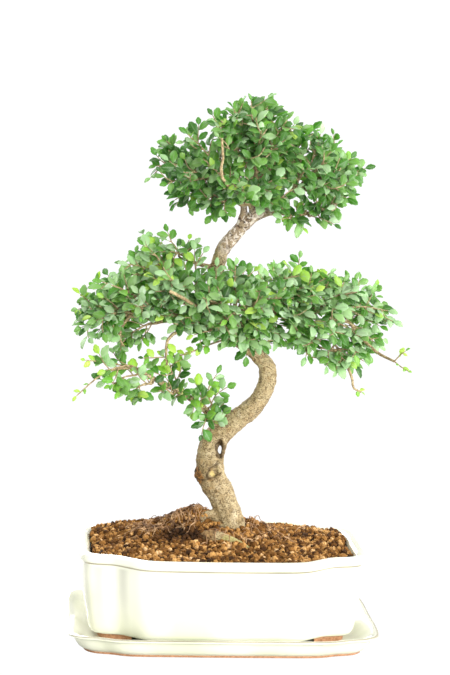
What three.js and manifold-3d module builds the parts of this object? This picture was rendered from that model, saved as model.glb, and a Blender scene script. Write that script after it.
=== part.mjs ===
// A chinese elm bonsai in its glazed pot on a matching drip tray.
// Millimetres, +Z up, front towards -Y, origin under the middle of the tray on the surface it stands on.
import * as THREE from 'three';
import { mergeVertices } from 'three/addons/utils/BufferGeometryUtils.js';
import Module from 'manifold-3d';

const wasm = await Module();
wasm.setup();
const { Manifold, Mesh: SolidMesh } = wasm;

// Driving dimensions of the tray and the pot
const GAP = 0.3;
const TRAY_HALF_WIDTH = 114;
const TRAY_HALF_DEPTH = 90.8;
const TRAY_HEIGHT = 15.1;
const TRAY_FLOOR = 4.8;
const POT_HALF_WIDTH = 104.8;
const POT_HALF_DEPTH = 81.6;
const POT_RIM = 69.7;
const POT_UNDERSIDE = 10.5;
const POT_FLOOR = 17;
const FOOT_INSET = [17.5, 30];
const FOOT_BEYOND = { x: 62, y: 20 };
const DRAIN_X = 45;
const DRAIN_RADIUS = 7;
const DRAIN_SIDES = 16;
const SCREEN_SIDE = 25;
const SCREEN_THICKNESS = 0.8;
const SCREEN_PITCH = 6.5;
const SCREEN_HOLE = 4.2;

// Driving dimensions of the soil, the wood and the leaves
const SOIL_LEVEL = 65.5;
const SOIL_GRAIN = 9.5;
const SOIL_RELIEF = 1.7;
const SOIL_SHIFT = 0.3 * SOIL_GRAIN;
const SOIL_CLEARANCE = 0.5;
const MOUND = { x: -12, y: 14, height: 17, spread_x: 34, spread_y: 30 };
const TRUNK_SIDES = 10;
const TRUNK_STEPS = 28;
const ROOT_SIDES = 5;
const ROOT_STEPS = 6;
const BOUGH_SIDES = 5;
const BOUGH_STEPS = 4;
const TWIG_SIDES = 4;
const TWIG_STEPS = 4;
const TWIG_RADII = [1, 1.2, 3.6, 3.4, 0.7];
const TWIG_START = 3;
const TWIG_RISE = 0.08;
const LEAF_LENGTH = [13, 18];
const LEAF_WIDTH_SHARE = 0.62;
const LEAF_THICKNESS = 1.1;
const LEAF_SPACING = 5.7;
const LEAF_SUNK = 1.2;
const LEAVES_FROM = 0.3;
const LEAF_TURN = 25;
const LEAF_SPREAD = [0.9, 1.6];
const LEAF_TIPPED = 0.6;
const LEAF_TRIES = 8;
const LEAF_CLEAR = 0.05;
const SEED = 20;

// Materials: colour, roughness
const GLAZE = ['#f3f3ea', 0.2];
const EARTH = ['#8a5a34', 0.95];
const BARK = ['#a48a6c', 0.85];
const GREEN = ['#3f8a3c', 0.55];
const YOUNG_GREEN = ['#86b83c', 0.55];
const SCREEN_BLACK = ['#20211f', 0.7];

function randomSource(seed) {
  let state = seed;
  return () => {
    state = (state + 0x6d2b79f5) | 0;
    let t = Math.imul(state ^ (state >>> 15), 1 | state);
    t = (t + Math.imul(t ^ (t >>> 7), 61 | t)) ^ t;
    return ((t ^ (t >>> 14)) >>> 0) / 4294967296;
  };
}
const random = randomSource(SEED);
const between = (low, high) => low + (high - low) * random();
const vector = (p) => new THREE.Vector3(p[0], p[1], p[2]);

// Joins and cuts work on closed meshes with shared vertices
function toSolid(geometry) {
  const bare = geometry.index ? geometry.toNonIndexed() : geometry.clone();
  for (const name of Object.keys(bare.attributes)) {
    if (name !== 'position') bare.deleteAttribute(name);
  }
  const merged = mergeVertices(bare, 1e-4);
  return new Manifold(new SolidMesh({
    numProp: 3,
    vertProperties: new Float32Array(merged.attributes.position.array),
    triVerts: new Uint32Array(merged.index.array),
  }));
}

function toGeometry(solid) {
  const found = solid.getMesh();
  const geometry = new THREE.BufferGeometry();
  geometry.setAttribute('position', new THREE.BufferAttribute(found.vertProperties, 3));
  geometry.setIndex(new THREE.BufferAttribute(found.triVerts, 1));
  geometry.computeVertexNormals();
  return geometry;
}

// The largest closed body of a union, without any loose scrap or sealed hollow
function oneBody(solids) {
  const joined = solids.length > 1 ? Manifold.union(solids) : solids[0];
  const bodies = joined.decompose().sort((a, b) => b.volume() - a.volume());
  return bodies[0];
}

const part = new THREE.Group();

function addNode(name, solid, [colour, roughness]) {
  const material = new THREE.MeshStandardMaterial({ color: colour, roughness, metalness: 0 });
  const mesh = new THREE.Mesh(toGeometry(solid), material);
  mesh.name = name;
  part.add(mesh);
}

// Rings of equal length stacked into a closed skin, with a fan over each end
function ringsSkin(rings) {
  const positions = [];
  const count = rings[0].length;
  const push = (...points) => points.forEach((p) => positions.push(p.x, p.y, p.z));
  const middle = (ring) => ring.reduce((sum, p) => sum.add(p), new THREE.Vector3()).divideScalar(count);
  const first = middle(rings[0]);
  const last = middle(rings.at(-1));
  for (let i = 0; i < count; i += 1) {
    const j = (i + 1) % count;
    push(first, rings[0][j], rings[0][i]);
    push(last, rings.at(-1)[i], rings.at(-1)[j]);
    for (let k = 0; k + 1 < rings.length; k += 1) {
      push(rings[k][i], rings[k][j], rings[k + 1][j]);
      push(rings[k][i], rings[k + 1][j], rings[k + 1][i]);
    }
  }
  const geometry = new THREE.BufferGeometry();
  geometry.setAttribute('position', new THREE.Float32BufferAttribute(positions, 3));
  return geometry;
}

// A plan outline from its quarter, which runs from the long side to the short side's middle
function fullOutline(quarter) {
  const run = quarter.map(([x, y]) => new THREE.Vector2(x, y));
  const back = [...run].reverse();
  const corner = (sx, sy, points) => points.map((p) => new THREE.Vector2(p.x * sx, p.y * sy));
  return [
    ...corner(1, -1, run),
    ...corner(1, 1, back.slice(1)),
    ...corner(-1, 1, run),
    ...corner(-1, -1, back.slice(1)),
  ];
}

// The outline drawn in by `inset` on every side and set at height z
function insetRing(outline, halfWidth, halfDepth, [inset, z]) {
  const sx = (halfWidth - inset) / halfWidth;
  const sy = (halfDepth - inset) / halfDepth;
  return outline.map((p) => new THREE.Vector3(p.x * sx, p.y * sy, z));
}

// Pot: bowed long sides step back at 45 degrees to a small lobe at each corner
const potQuarter = [
  [26, POT_HALF_DEPTH],
  [59, POT_HALF_DEPTH - 3.5],
  [73, POT_HALF_DEPTH - 15],
  [82, POT_HALF_DEPTH - 22.5],
  [94, POT_HALF_DEPTH - 25],
  [101.5, POT_HALF_DEPTH - 29.5],
  [POT_HALF_WIDTH, POT_HALF_DEPTH - 41],
  [POT_HALF_WIDTH + 0.4, 0],
];
const potOutline = fullOutline(potQuarter);
const potRing = (level) => insetRing(potOutline, POT_HALF_WIDTH, POT_HALF_DEPTH, level);
const POT_OUTSIDE = [
  [17.5, POT_UNDERSIDE],
  [14.5, 12],
  [10.5, 17],
  [6.6, 24.5],
  [4.2, 33],
  [2.8, 45],
  [2.2, 62.8],
  [0.5, 64.2],
  [0, 66.5],
  [0.8, 68.8],
  [3, POT_RIM],
];
const POT_INSIDE = [
  [6.6, POT_RIM],
  [8.4, 68],
  [9, 60],
  [10.5, 38],
  [13.5, 26],
  [20, POT_FLOOR],
];

// One corner foot: a slab under the lobe, between two insets of the outline
function potFoot(sx, sy) {
  const inFoot = (p) => p.x > FOOT_BEYOND.x && p.y > FOOT_BEYOND.y;
  const [outer, inner] = FOOT_INSET.map((inset) => potRing([inset, 0]).filter(inFoot));
  const corners = [...outer, ...inner.reverse()];
  const shape = new THREE.Shape(corners.map((p) => new THREE.Vector2(p.x * sx, p.y * sy)));
  const height = POT_OUTSIDE[1][1] - (TRAY_FLOOR + GAP);
  const foot = new THREE.ExtrudeGeometry(shape, { depth: height, bevelEnabled: false });
  foot.translate(0, 0, TRAY_FLOOR + GAP);
  return toSolid(foot);
}

function drainHole(x) {
  const height = 2 * (POT_FLOOR - POT_UNDERSIDE);
  const hole = new THREE.CylinderGeometry(DRAIN_RADIUS, DRAIN_RADIUS, height, DRAIN_SIDES);
  hole.rotateX(Math.PI / 2);
  hole.translate(x, 0, (POT_UNDERSIDE + POT_FLOOR) / 2);
  return toSolid(hole);
}

let pot = toSolid(ringsSkin([...POT_OUTSIDE, ...POT_INSIDE].map(potRing)));
for (const sx of [-1, 1]) {
  for (const sy of [-1, 1]) pot = pot.add(potFoot(sx, sy));
  pot = pot.subtract(drainHole(sx * DRAIN_X));
}
addNode('pot', pot, GLAZE);

// Tray: a shallow dish of the same plan with softer corners
const trayQuarter = [
  [40, TRAY_HALF_DEPTH],
  [79, TRAY_HALF_DEPTH - 2],
  [90, TRAY_HALF_DEPTH - 7.5],
  [104, TRAY_HALF_DEPTH - 11.5],
  [111, TRAY_HALF_DEPTH - 19],
  [TRAY_HALF_WIDTH, TRAY_HALF_DEPTH - 36],
  [TRAY_HALF_WIDTH + 0.4, 0],
];
const trayOutline = fullOutline(trayQuarter);
const TRAY_PROFILE = [
  [12.8, 0],
  [12.2, 1.8],
  [10, 2.6],
  [7.4, 5.6],
  [5, 10.4],
  [3, 12.6],
  [0.6, 13],
  [0, 14],
  [0.8, 14.9],
  [3, TRAY_HEIGHT],
  [5, 14.4],
  [7.8, 12],
  [11, 9],
  [14.5, 6.4],
  [18, 5.1],
  [22, TRAY_FLOOR],
];
const trayRings = TRAY_PROFILE.map((level) => (
  insetRing(trayOutline, TRAY_HALF_WIDTH, TRAY_HALF_DEPTH, level)));
addNode('drip_tray', toSolid(ringsSkin(trayRings)), GLAZE);

// Drainage screens: square plastic mesh that lies on the pot's floor over each drain hole
function boxSolid(width, depth, height, x, y, z) {
  return toSolid(new THREE.BoxGeometry(width, depth, height).translate(x, y, z));
}

function screenSolid(x) {
  const z = POT_FLOOR + GAP + SCREEN_THICKNESS / 2;
  const through = 3 * SCREEN_THICKNESS;
  let sheet = boxSolid(SCREEN_SIDE, SCREEN_SIDE, SCREEN_THICKNESS, x, 0, z);
  for (const i of [-1, 0, 1]) {
    for (const j of [-1, 0, 1]) {
      const hole = boxSolid(SCREEN_HOLE, SCREEN_HOLE, through, x + i * SCREEN_PITCH, j * SCREEN_PITCH, z);
      sheet = sheet.subtract(hole);
    }
  }
  return sheet;
}
addNode('drain_screen_left', screenSolid(-DRAIN_X), SCREEN_BLACK);
addNode('drain_screen_right', screenSolid(DRAIN_X), SCREEN_BLACK);

// The radius at a share of the way along evenly spaced stations
function radiusAt(radii, along) {
  const place = along * (radii.length - 1);
  const low = Math.min(Math.floor(place), radii.length - 2);
  return THREE.MathUtils.lerp(radii[low], radii[low + 1], place - low);
}

// A round limb along a curve, with its radius eased through the given stations
function limbSolid(route, radii, sides, steps, extra = 0) {
  const curve = new THREE.CatmullRomCurve3(route.map(vector), false, 'centripetal');
  const frames = curve.computeFrenetFrames(steps, false);
  const rings = [];
  for (let k = 0; k <= steps; k += 1) {
    const along = k / steps;
    const radius = radiusAt(radii, along) + extra;
    const centre = curve.getPointAt(along);
    const ring = [];
    for (let i = 0; i < sides; i += 1) {
      const angle = (i / sides) * 2 * Math.PI;
      ring.push(centre.clone()
        .addScaledVector(frames.normals[k], radius * Math.cos(angle))
        .addScaledVector(frames.binormals[k], radius * Math.sin(angle)));
    }
    rings.push(ring);
  }
  return { solid: toSolid(ringsSkin(rings)), curve };
}

// Trunk: an S that leans left, swings out right and comes back under the crown
const TRUNK_ROUTE = [
  [14, 10, 50], [10, 10, 74], [5, 10, 91], [1, 10, 102], [-7, 8, 117], [-9, 6, 133], [-6, 4, 147],
  [4, 2, 160], [16, 0, 170], [25, 0, 180], [31, 0, 191], [31, 0, 201], [25, 2, 209], [15, 4, 217],
  [5, 6, 225], [-3, 8, 234], [-8, 8, 246], [-10, 8, 260], [-9, 8, 278], [-7, 6, 287], [0, 4, 297],
  [9, 2, 306], [18, 0, 313], [27, 0, 316], [36, 0, 317],
];
const TRUNK_RADII = [9, 11, 9.8, 11.2, 10.4, 9.2, 8.6, 8.2, 7.4, 6.2, 5.2, 4.6, 4.3, 3.8, 3.2];

// Each root: its route from the trunk's foot, and its radii
const ROOTS = [
  [[[6, 8, 82], [-8, 6, 89], [-13, 5, 86], [-14, 4, 78], [-16, 2, 66]], [4.5, 3.2, 2.4, 2.2, 1.6]],
  [[[6, 4, 80], [-8, -4, 80], [-17, -12, 77], [-10, -19, 77], [6, -23, 75], [20, -26, 69], [30, -28, 60]],
    [4, 3, 2.6, 2.5, 2.2, 1.7, 1]],
  [[[4, 8, 84], [-14, 10, 88], [-30, 10, 83], [-44, 6, 74], [-56, 2, 60]], [5, 3.6, 3, 2.2, 1.2]],
  [[[8, 12, 74], [24, 20, 74], [40, 28, 64], [52, 34, 50]], [5, 3.6, 2.4, 1.2]],
  [[[8, 8, 72], [20, 0, 68], [34, -8, 56], [44, -14, 42]], [5, 3.4, 2.2, 1.2]],
  [[[6, 14, 74], [-4, 28, 72], [-16, 40, 60], [-26, 48, 44]], [5, 3.4, 2.2, 1.2]],
];

// Each bough: its route, its radii, and its sprays as [how far along the bough, where the tip reaches]
const BOUGHS = {
  crown_left: {
    route: [[9, 2, 306], [11, 0, 320], [2, -3, 333], [-14, -4, 341], [-28, -4, 346]],
    radii: [3, 2.4, 2, 1.6, 1.3],
    sprays: [[1, [-54, -6, 348]], [0.86, [-46, 16, 360]], [0.8, [-46, -22, 336]], [0.62, [-32, -14, 372]],
      [0.7, [-40, 14, 326]]],
  },
  crown_top: {
    route: [[18, 0, 313], [21, 2, 328], [19, 4, 346], [17, 4, 358]],
    radii: [3, 2.4, 1.8, 1.3],
    sprays: [[1, [10, 4, 390]], [0.88, [34, 12, 390]], [0.8, [-8, -12, 382]], [0.7, [20, -30, 376]],
      [0.6, [40, -16, 384]]],
  },
  crown_right: {
    route: [[30, 0, 317], [42, -2, 326], [56, -4, 335], [68, -4, 342]],
    radii: [3, 2.4, 1.8, 1.3],
    sprays: [[1, [94, -6, 346]], [0.85, [80, 8, 366]], [0.75, [64, -20, 374]], [0.6, [56, 22, 374]],
      [0.68, [78, -26, 334]]],
  },
  crown_low: {
    route: [[33, 0, 317], [46, -1, 315], [60, -3, 316], [72, -5, 320]],
    radii: [2.6, 2, 1.6, 1.2],
    sprays: [[1, [94, -8, 326]], [0.75, [72, -22, 308]], [0.5, [52, -10, 308]]],
  },
  crown_front: {
    route: [[18, 0, 313], [15, -10, 321], [10, -20, 329]],
    radii: [2.4, 1.8, 1.2],
    sprays: [[1, [-2, -42, 338]], [0.75, [28, -38, 340]], [0.6, [-18, -22, 322]]],
  },
  crown_back: {
    route: [[25, 2, 315], [29, 14, 324], [28, 26, 332]],
    radii: [2.4, 1.8, 1.2],
    sprays: [[1, [26, 48, 346]], [0.75, [54, 38, 344]]],
  },
  left_low: {
    route: [[2, 6, 228], [-14, 2, 231], [-32, -2, 237], [-52, -6, 241], [-72, -8, 242]],
    radii: [5, 3.6, 2.8, 2, 1.4],
    sprays: [[1, [-104, -10, 236]], [0.9, [-100, 6, 252]], [0.8, [-92, -24, 264]], [0.7, [-78, 18, 234]],
      [0.6, [-68, -34, 240]], [0.66, [-80, -20, 216]]],
  },
  left_high: {
    route: [[-5, 7, 238], [-20, -2, 246], [-34, -6, 260], [-44, -8, 272]],
    radii: [3.8, 2.6, 1.9, 1.3],
    sprays: [[1, [-62, -10, 290]], [0.8, [-76, -6, 276]], [0.62, [-48, -32, 268]]],
  },
  left_twig: {
    route: [[-9, 8, 273], [-20, 4, 276], [-32, 0, 280]],
    radii: [2.2, 1.6, 1.2],
    sprays: [[1, [-44, -14, 294]]],
  },
  left_back: {
    route: [[-4, 9, 234], [-22, 22, 243], [-42, 32, 250]],
    radii: [3.4, 2.2, 1.3],
    sprays: [[1, [-74, 40, 256]], [0.7, [-44, 50, 268]]],
  },
  right_low: {
    route: [[6, 6, 226], [22, 4, 236], [44, 0, 242], [66, -4, 244], [86, -6, 243]],
    radii: [5, 3.8, 2.8, 2, 1.4],
    sprays: [[1, [118, -8, 240]], [0.9, [112, 10, 254]], [0.85, [110, -20, 222]], [0.72, [94, -24, 260]],
      [0.5, [62, -20, 264]]],
  },
  right_drop: {
    route: [[40, 0, 241], [56, -8, 230], [72, -12, 220], [84, -12, 212]],
    radii: [2.6, 2, 1.6, 1.2],
    sprays: [[1, [106, -12, 206]], [0.75, [88, -28, 208]], [0.5, [54, -22, 204]]],
  },
  right_high: {
    route: [[14, 5, 231], [30, 8, 246], [44, 10, 258]],
    radii: [3.2, 2.2, 1.4],
    sprays: [[1, [70, 10, 276]], [0.7, [42, -14, 280]]],
  },
  right_back: {
    route: [[14, 7, 231], [36, 22, 242], [58, 34, 248]],
    radii: [3.2, 2.2, 1.3],
    sprays: [[1, [88, 40, 252]]],
  },
  front: {
    route: [[4, 4, 228], [4, -12, 236], [-2, -26, 243]],
    radii: [3.6, 2.4, 1.4],
    sprays: [[1, [-20, -46, 256]], [0.8, [26, -40, 252]], [0.6, [4, -30, 278]]],
  },
  lowest: {
    route: [[-3, 4, 152], [-13, -5, 168], [-28, -14, 180], [-44, -22, 189], [-56, -28, 196], [-68, -32, 203]],
    radii: [3.6, 2.8, 2.4, 2, 1.7, 1.3],
    sprays: [[1, [-94, -38, 200]], [0.8, [-70, -34, 184]], [0.6, [-40, -30, 208]], [0.24, [-12, -14, 190]],
      [0.12, [-20, -18, 154]]],
  },
};

// The knob, the pruned stub's scar and the slot between the trunk's two strands
const KNOB = { half: [6, 5.4, 7.5], place: [-15.5, 7, 119] };
const SCAR = { radii: [3, 3.6], depth: 5, place: [-6, -2.6, 122] };
const SLOT = { half: [1.5, 3.6], depth: 60, dip: -9, turn: -4, place: [-1.5, 5, 138] };
const DETAIL_SIDES = 10;

function trunkDetails() {
  const knob = new THREE.IcosahedronGeometry(1, 0).scale(...KNOB.half).translate(...KNOB.place);
  const scar = new THREE.CylinderGeometry(...SCAR.radii, SCAR.depth, DETAIL_SIDES).translate(...SCAR.place);
  const slot = new THREE.CylinderGeometry(1, 1, SLOT.depth, DETAIL_SIDES)
    .scale(SLOT.half[0], 1, SLOT.half[1])
    .rotateX(THREE.MathUtils.degToRad(SLOT.dip))
    .rotateZ(THREE.MathUtils.degToRad(SLOT.turn))
    .translate(...SLOT.place);
  return { add: [toSolid(knob), toSolid(scar)], cut: toSolid(slot) };
}

function woodSolid(extra) {
  const limbs = [limbSolid(TRUNK_ROUTE, TRUNK_RADII, TRUNK_SIDES, TRUNK_STEPS, extra).solid];
  for (const [route, radii] of ROOTS) {
    limbs.push(limbSolid(route, radii, ROOT_SIDES, ROOT_STEPS, extra).solid);
  }
  return limbs;
}

const boughCurves = {};
const woodPieces = woodSolid(0);
for (const [name, bough] of Object.entries(BOUGHS)) {
  const { solid, curve } = limbSolid(bough.route, bough.radii, BOUGH_SIDES, BOUGH_STEPS);
  boughCurves[name] = curve;
  woodPieces.push(solid);
}
const details = trunkDetails();
const wood = oneBody([...woodPieces, ...details.add]).subtract(details.cut);
addNode('trunk', wood, BARK);

// Soil: fills the pot, heaped round the trunk, its top broken up by grains of a seeded height
function soilHeight(x, y) {
  const dx = (x - MOUND.x) / MOUND.spread_x;
  const dy = (y - MOUND.y) / MOUND.spread_y;
  return SOIL_LEVEL + MOUND.height * Math.exp(-0.5 * (dx * dx + dy * dy));
}

function soilTop() {
  const columns = Math.ceil((2 * POT_HALF_WIDTH) / SOIL_GRAIN);
  const rows = Math.ceil((2 * POT_HALF_DEPTH) / SOIL_GRAIN);
  const block = new THREE.BoxGeometry(2 * POT_HALF_WIDTH, 2 * POT_HALF_DEPTH, 1, columns, rows, 1);
  const merged = mergeVertices(block.deleteAttribute('normal').deleteAttribute('uv'), 1e-4);
  const place = merged.attributes.position;
  for (let i = 0; i < place.count; i += 1) {
    if (place.getZ(i) < 0) {
      place.setZ(i, 0);
    } else {
      const x = place.getX(i) + between(-SOIL_SHIFT, SOIL_SHIFT);
      const y = place.getY(i) + between(-SOIL_SHIFT, SOIL_SHIFT);
      place.setXYZ(i, x, y, soilHeight(x, y) + between(-SOIL_RELIEF, SOIL_RELIEF));
    }
  }
  return toSolid(merged);
}

const wallLevels = POT_INSIDE.slice(2).map(([inset, z]) => [inset + SOIL_CLEARANCE, z]).reverse();
wallLevels[0][1] += GAP;
wallLevels.push([wallLevels.at(-1)[0], POT_RIM + MOUND.height]);
const cavity = toSolid(ringsSkin(wallLevels.map(potRing)));
let soil = soilTop().intersect(cavity).subtract(Manifold.union(woodSolid(GAP)));
for (const sx of [-1, 1]) {
  const top = POT_FLOOR + GAP + SCREEN_THICKNESS + GAP;
  const side = SCREEN_SIDE + 2 * GAP;
  soil = soil.subtract(boxSolid(side, side, top, sx * DRAIN_X, 0, top / 2));
}
addNode('soil', oneBody([soil]), EARTH);

// Leaf: an elliptic blade with forward teeth on a short stalk that starts as a point inside the twig.
// Its rib is thickest next to the stalk, and both edges stand a little above it.
const LEAF_EDGE = [[0.12, 0.13], [0.42, 1], [0.49, 0.8], [0.74, 0.78]];
const LEAF_RIB_AT = 0.16;
const LEAF_FOLD = 0.28;
const LEAF_BEND = 0.16;
const LEAF_ROOT = -0.35;
function leafSolid(base, direction, up, length) {
  const forward = direction.clone().normalize();
  const side = forward.clone().cross(up).normalize();
  const normal = side.clone().cross(forward).normalize();
  const halfWidth = (length * LEAF_WIDTH_SHARE) / 2;
  const rise = (along, across) => (
    LEAF_FOLD * Math.abs(across) * halfWidth - LEAF_BEND * along * along * length);
  const point = (along, across, lift) => base.clone()
    .addScaledVector(forward, along * length)
    .addScaledVector(side, across * halfWidth)
    .addScaledVector(normal, rise(along, across) + lift);
  const start = base.clone().addScaledVector(forward, LEAF_ROOT);
  const tip = point(1, 0, 0);
  const triangles = [];
  for (const sign of [1, -1]) {
    const edge = [start, ...LEAF_EDGE.map(([along, across]) => point(along, sign * across, 0)), tip];
    for (const lift of [1, -1]) {
      const rib = point(LEAF_RIB_AT, 0, (lift * LEAF_THICKNESS) / 2);
      for (let i = 0; i + 1 < edge.length; i += 1) {
        triangles.push(rib, ...(sign * lift > 0 ? [edge[i], edge[i + 1]] : [edge[i + 1], edge[i]]));
      }
    }
  }
  return toSolid(new THREE.BufferGeometry().setFromPoints(triangles));
}

// Every twig and leaf placed so far, so that a new one can be turned clear of them
const placed = [];
function boxOf(solid) {
  const box = solid.boundingBox();
  return new THREE.Box3(vector(box.min), vector(box.max));
}
function isClear(solid, owner, ownTwig) {
  const box = boxOf(solid).expandByScalar(GAP);
  return placed.every((other) => {
    if (other === ownTwig || !box.intersectsBox(other.box)) return true;
    return solid.minGap(other.solid, 2 * GAP) > (other.owner === owner ? LEAF_CLEAR : GAP - LEAF_CLEAR);
  });
}

function keep(owner, solid) {
  const piece = { owner, solid, box: boxOf(solid) };
  placed.push(piece);
  return piece;
}

keep('trunk', wood);

// A spray's twig leaves its bough square to the bark and arches over to its tip, thick where leaves hide it
function mainTwig(name, bough, along, tip) {
  const curve = boughCurves[bough];
  const radii = BOUGHS[bough].radii;
  const centre = curve.getPointAt(along);
  const tangent = curve.getTangentAt(along);
  const reach = vector(tip).sub(centre);
  let out = tangent;
  let start = centre.clone().addScaledVector(out, GAP);
  if (along < 1) {
    out = reach.clone().addScaledVector(tangent, -reach.dot(tangent)).normalize();
    start = centre.clone().addScaledVector(out, radiusAt(radii, along) + GAP);
  }
  const end = vector(tip);
  const rise = new THREE.Vector3(0, 0, TWIG_RISE * reach.length());
  const route = [
    start,
    start.clone().addScaledVector(out, TWIG_START),
    start.clone().lerp(end, 0.5).add(rise),
    end,
  ].map((p) => p.toArray());
  const { solid, curve: line } = limbSolid(route, TWIG_RADII, TWIG_SIDES, TWIG_STEPS);
  return Object.assign(keep(name, solid), { line });
}

const UP = new THREE.Vector3(0, 0, 1);
const CROWN_CENTRE = new THREE.Vector3(20, 0, 340);
const TIER_CENTRE = new THREE.Vector3(0, 0, 225);
const CROWN_FROM = 300;
const FRONT_TO = 6;
const FACING = { up: 0.6, away: 0.4, outer: 0.7 };
const WOBBLE = [0.4, 0.4, 0.3];

// The upper side of a leaf: up, out from the middle of its tier and to the nearer of front and back
function leafUp(point) {
  const centre = point.z > CROWN_FROM ? CROWN_CENTRE : TIER_CENTRE;
  const away = point.clone().sub(centre).normalize();
  const outer = new THREE.Vector3(0, point.y < FRONT_TO ? -1 : 1, 0);
  const wobble = new THREE.Vector3(...WOBBLE.map((reach) => between(-reach, reach)));
  return UP.clone()
    .multiplyScalar(FACING.up)
    .addScaledVector(away, FACING.away)
    .addScaledVector(outer, FACING.outer)
    .add(wobble)
    .normalize();
}

// Leaves stand round the leafy part of a spray in turn, to the left and right and above, with one at its tip
const LEAF_SIDES = [0, 180, 70, 200, -20, 110];
const TWIG_FLAT = Math.cos(Math.PI / TWIG_SIDES);
function growLeaves(name, twig) {
  const count = Math.round((twig.line.getLength() * (1 - LEAVES_FROM)) / LEAF_SPACING);
  for (let i = 0; i <= count; i += 1) {
    const along = LEAVES_FROM + ((1 - LEAVES_FROM) * i) / count;
    for (let attempt = 0; attempt < LEAF_TRIES; attempt += 1) {
      const blade = oneLeaf(twig, along, i);
      if (isClear(blade, name, twig)) {
        keep(name, blade);
        break;
      }
    }
  }
}

const TIP_LEAF = { tangent_at: 0.99, root_at: 0.97, spread: 0.1 };
function oneLeaf(twig, along, turn) {
  const forward = twig.line.getTangentAt(Math.min(along, TIP_LEAF.tangent_at));
  const centre = twig.line.getPointAt(Math.min(along, TIP_LEAF.root_at));
  const up = leafUp(centre);
  const across = forward.clone().cross(up).normalize();
  const lift = across.clone().cross(forward).normalize();
  const side = LEAF_SIDES[turn % LEAF_SIDES.length];
  const angle = THREE.MathUtils.degToRad(side + between(-LEAF_TURN, LEAF_TURN));
  const outward = across.multiplyScalar(Math.cos(angle)).addScaledVector(lift, Math.sin(angle));
  const atTip = along === 1;
  const spread = atTip ? TIP_LEAF.spread : between(...LEAF_SPREAD);
  const direction = forward.clone().addScaledVector(outward, spread).normalize();
  const depth = atTip ? 0 : Math.max(radiusAt(TWIG_RADII, along) * TWIG_FLAT - LEAF_SUNK, 0);
  const base = centre.clone().addScaledVector(outward, depth);
  const normal = up.clone().addScaledVector(forward, -LEAF_TIPPED * Math.max(outward.dot(up), 0));
  return leafSolid(base, direction, normal, between(...LEAF_LENGTH));
}

const sprays = [];
for (const [bough, { sprays: tips }] of Object.entries(BOUGHS)) {
  tips.forEach(([along, tip], i) => {
    const name = `spray_${bough}_${i + 1}`;
    sprays.push({ name, main: mainTwig(name, bough, along, tip) });
  });
}
for (const { name, main } of sprays) growLeaves(name, main);
for (const { name } of sprays) {
  const pieces = placed.filter((piece) => piece.owner === name).map((piece) => piece.solid);
  addNode(name, oneBody(pieces), name.includes('lowest') ? YOUNG_GREEN : GREEN);
}

export default part;
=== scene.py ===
import math
import random
from contextlib import contextmanager

import bpy
import numpy as np
from mathutils import Euler, Matrix, Quaternion, Vector
from mathutils.bvhtree import BVHTree
from mathutils.noise import noise as noise_at


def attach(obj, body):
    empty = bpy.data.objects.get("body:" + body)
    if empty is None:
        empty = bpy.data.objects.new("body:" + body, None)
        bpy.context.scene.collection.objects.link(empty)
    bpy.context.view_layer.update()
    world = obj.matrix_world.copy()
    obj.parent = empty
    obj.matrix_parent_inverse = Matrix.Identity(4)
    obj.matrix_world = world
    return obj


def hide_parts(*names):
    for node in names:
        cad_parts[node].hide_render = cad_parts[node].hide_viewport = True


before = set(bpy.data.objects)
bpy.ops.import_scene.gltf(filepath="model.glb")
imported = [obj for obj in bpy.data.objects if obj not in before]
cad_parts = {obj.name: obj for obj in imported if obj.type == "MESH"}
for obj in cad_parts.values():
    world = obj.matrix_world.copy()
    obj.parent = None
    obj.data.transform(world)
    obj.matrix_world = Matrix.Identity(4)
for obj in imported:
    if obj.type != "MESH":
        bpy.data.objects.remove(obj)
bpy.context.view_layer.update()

# Camera: a long lens a little above the pot's rim, turned slightly to the right.
# Its place and turn were fitted to the pot's corners, the tray and the trunk's foot.
PHOTO_HEIGHT, FOCAL_PIXELS, SENSOR_MM = 675, 2278, 36
CAMERA_PLACE = (-0.115, -1.671, 0.407)
CAMERA_DOWN, CAMERA_RIGHT, CAMERA_ROLL = 6.29, 3.93, 1.46

camera_data = bpy.data.cameras.new("camera")
camera_data.sensor_width = SENSOR_MM
camera_data.lens = FOCAL_PIXELS / PHOTO_HEIGHT * SENSOR_MM
camera = bpy.data.objects.new("camera", camera_data)
bpy.context.scene.collection.objects.link(camera)
camera.location = CAMERA_PLACE
aim = Euler((math.radians(90 - CAMERA_DOWN), 0, math.radians(-CAMERA_RIGHT))).to_matrix()
camera.rotation_euler = (aim @ Matrix.Rotation(math.radians(CAMERA_ROLL), 3, "Z")).to_euler()
bpy.context.scene.camera = camera

# Studio: a white floor in white surroundings, which burn out to plain white, as in product shots.
# The key light is large and soft and stands at the right, with fill from the front and from above.
FLOOR_SIZE = 8
SEEN_WHITE, SOFT_LIGHT = 1.05, 0.61
# Place, size and watts
LIGHTS = {"key_light": ((1.3, 0.0, 0.8), 0.8, 23), "front_light": ((0.75, -1.7, 0.4), 1.0, 58),
          "top_light": ((-0.5, 0.2, 1.4), 1.0, 15), "back_light": ((-0.6, 1.5, 0.5), 1.2, 46)}
LIGHTS_AIM = (0, 0, 0.2)


def linear(hex_colour):
    """An sRGB hex colour as the linear colour that a shader takes."""
    parts = [int(hex_colour[i:i + 2], 16) / 255 for i in (1, 3, 5)]
    return [p / 12.92 if p <= 0.04045 else ((p + 0.055) / 1.055) ** 2.4 for p in parts] + [1]


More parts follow.
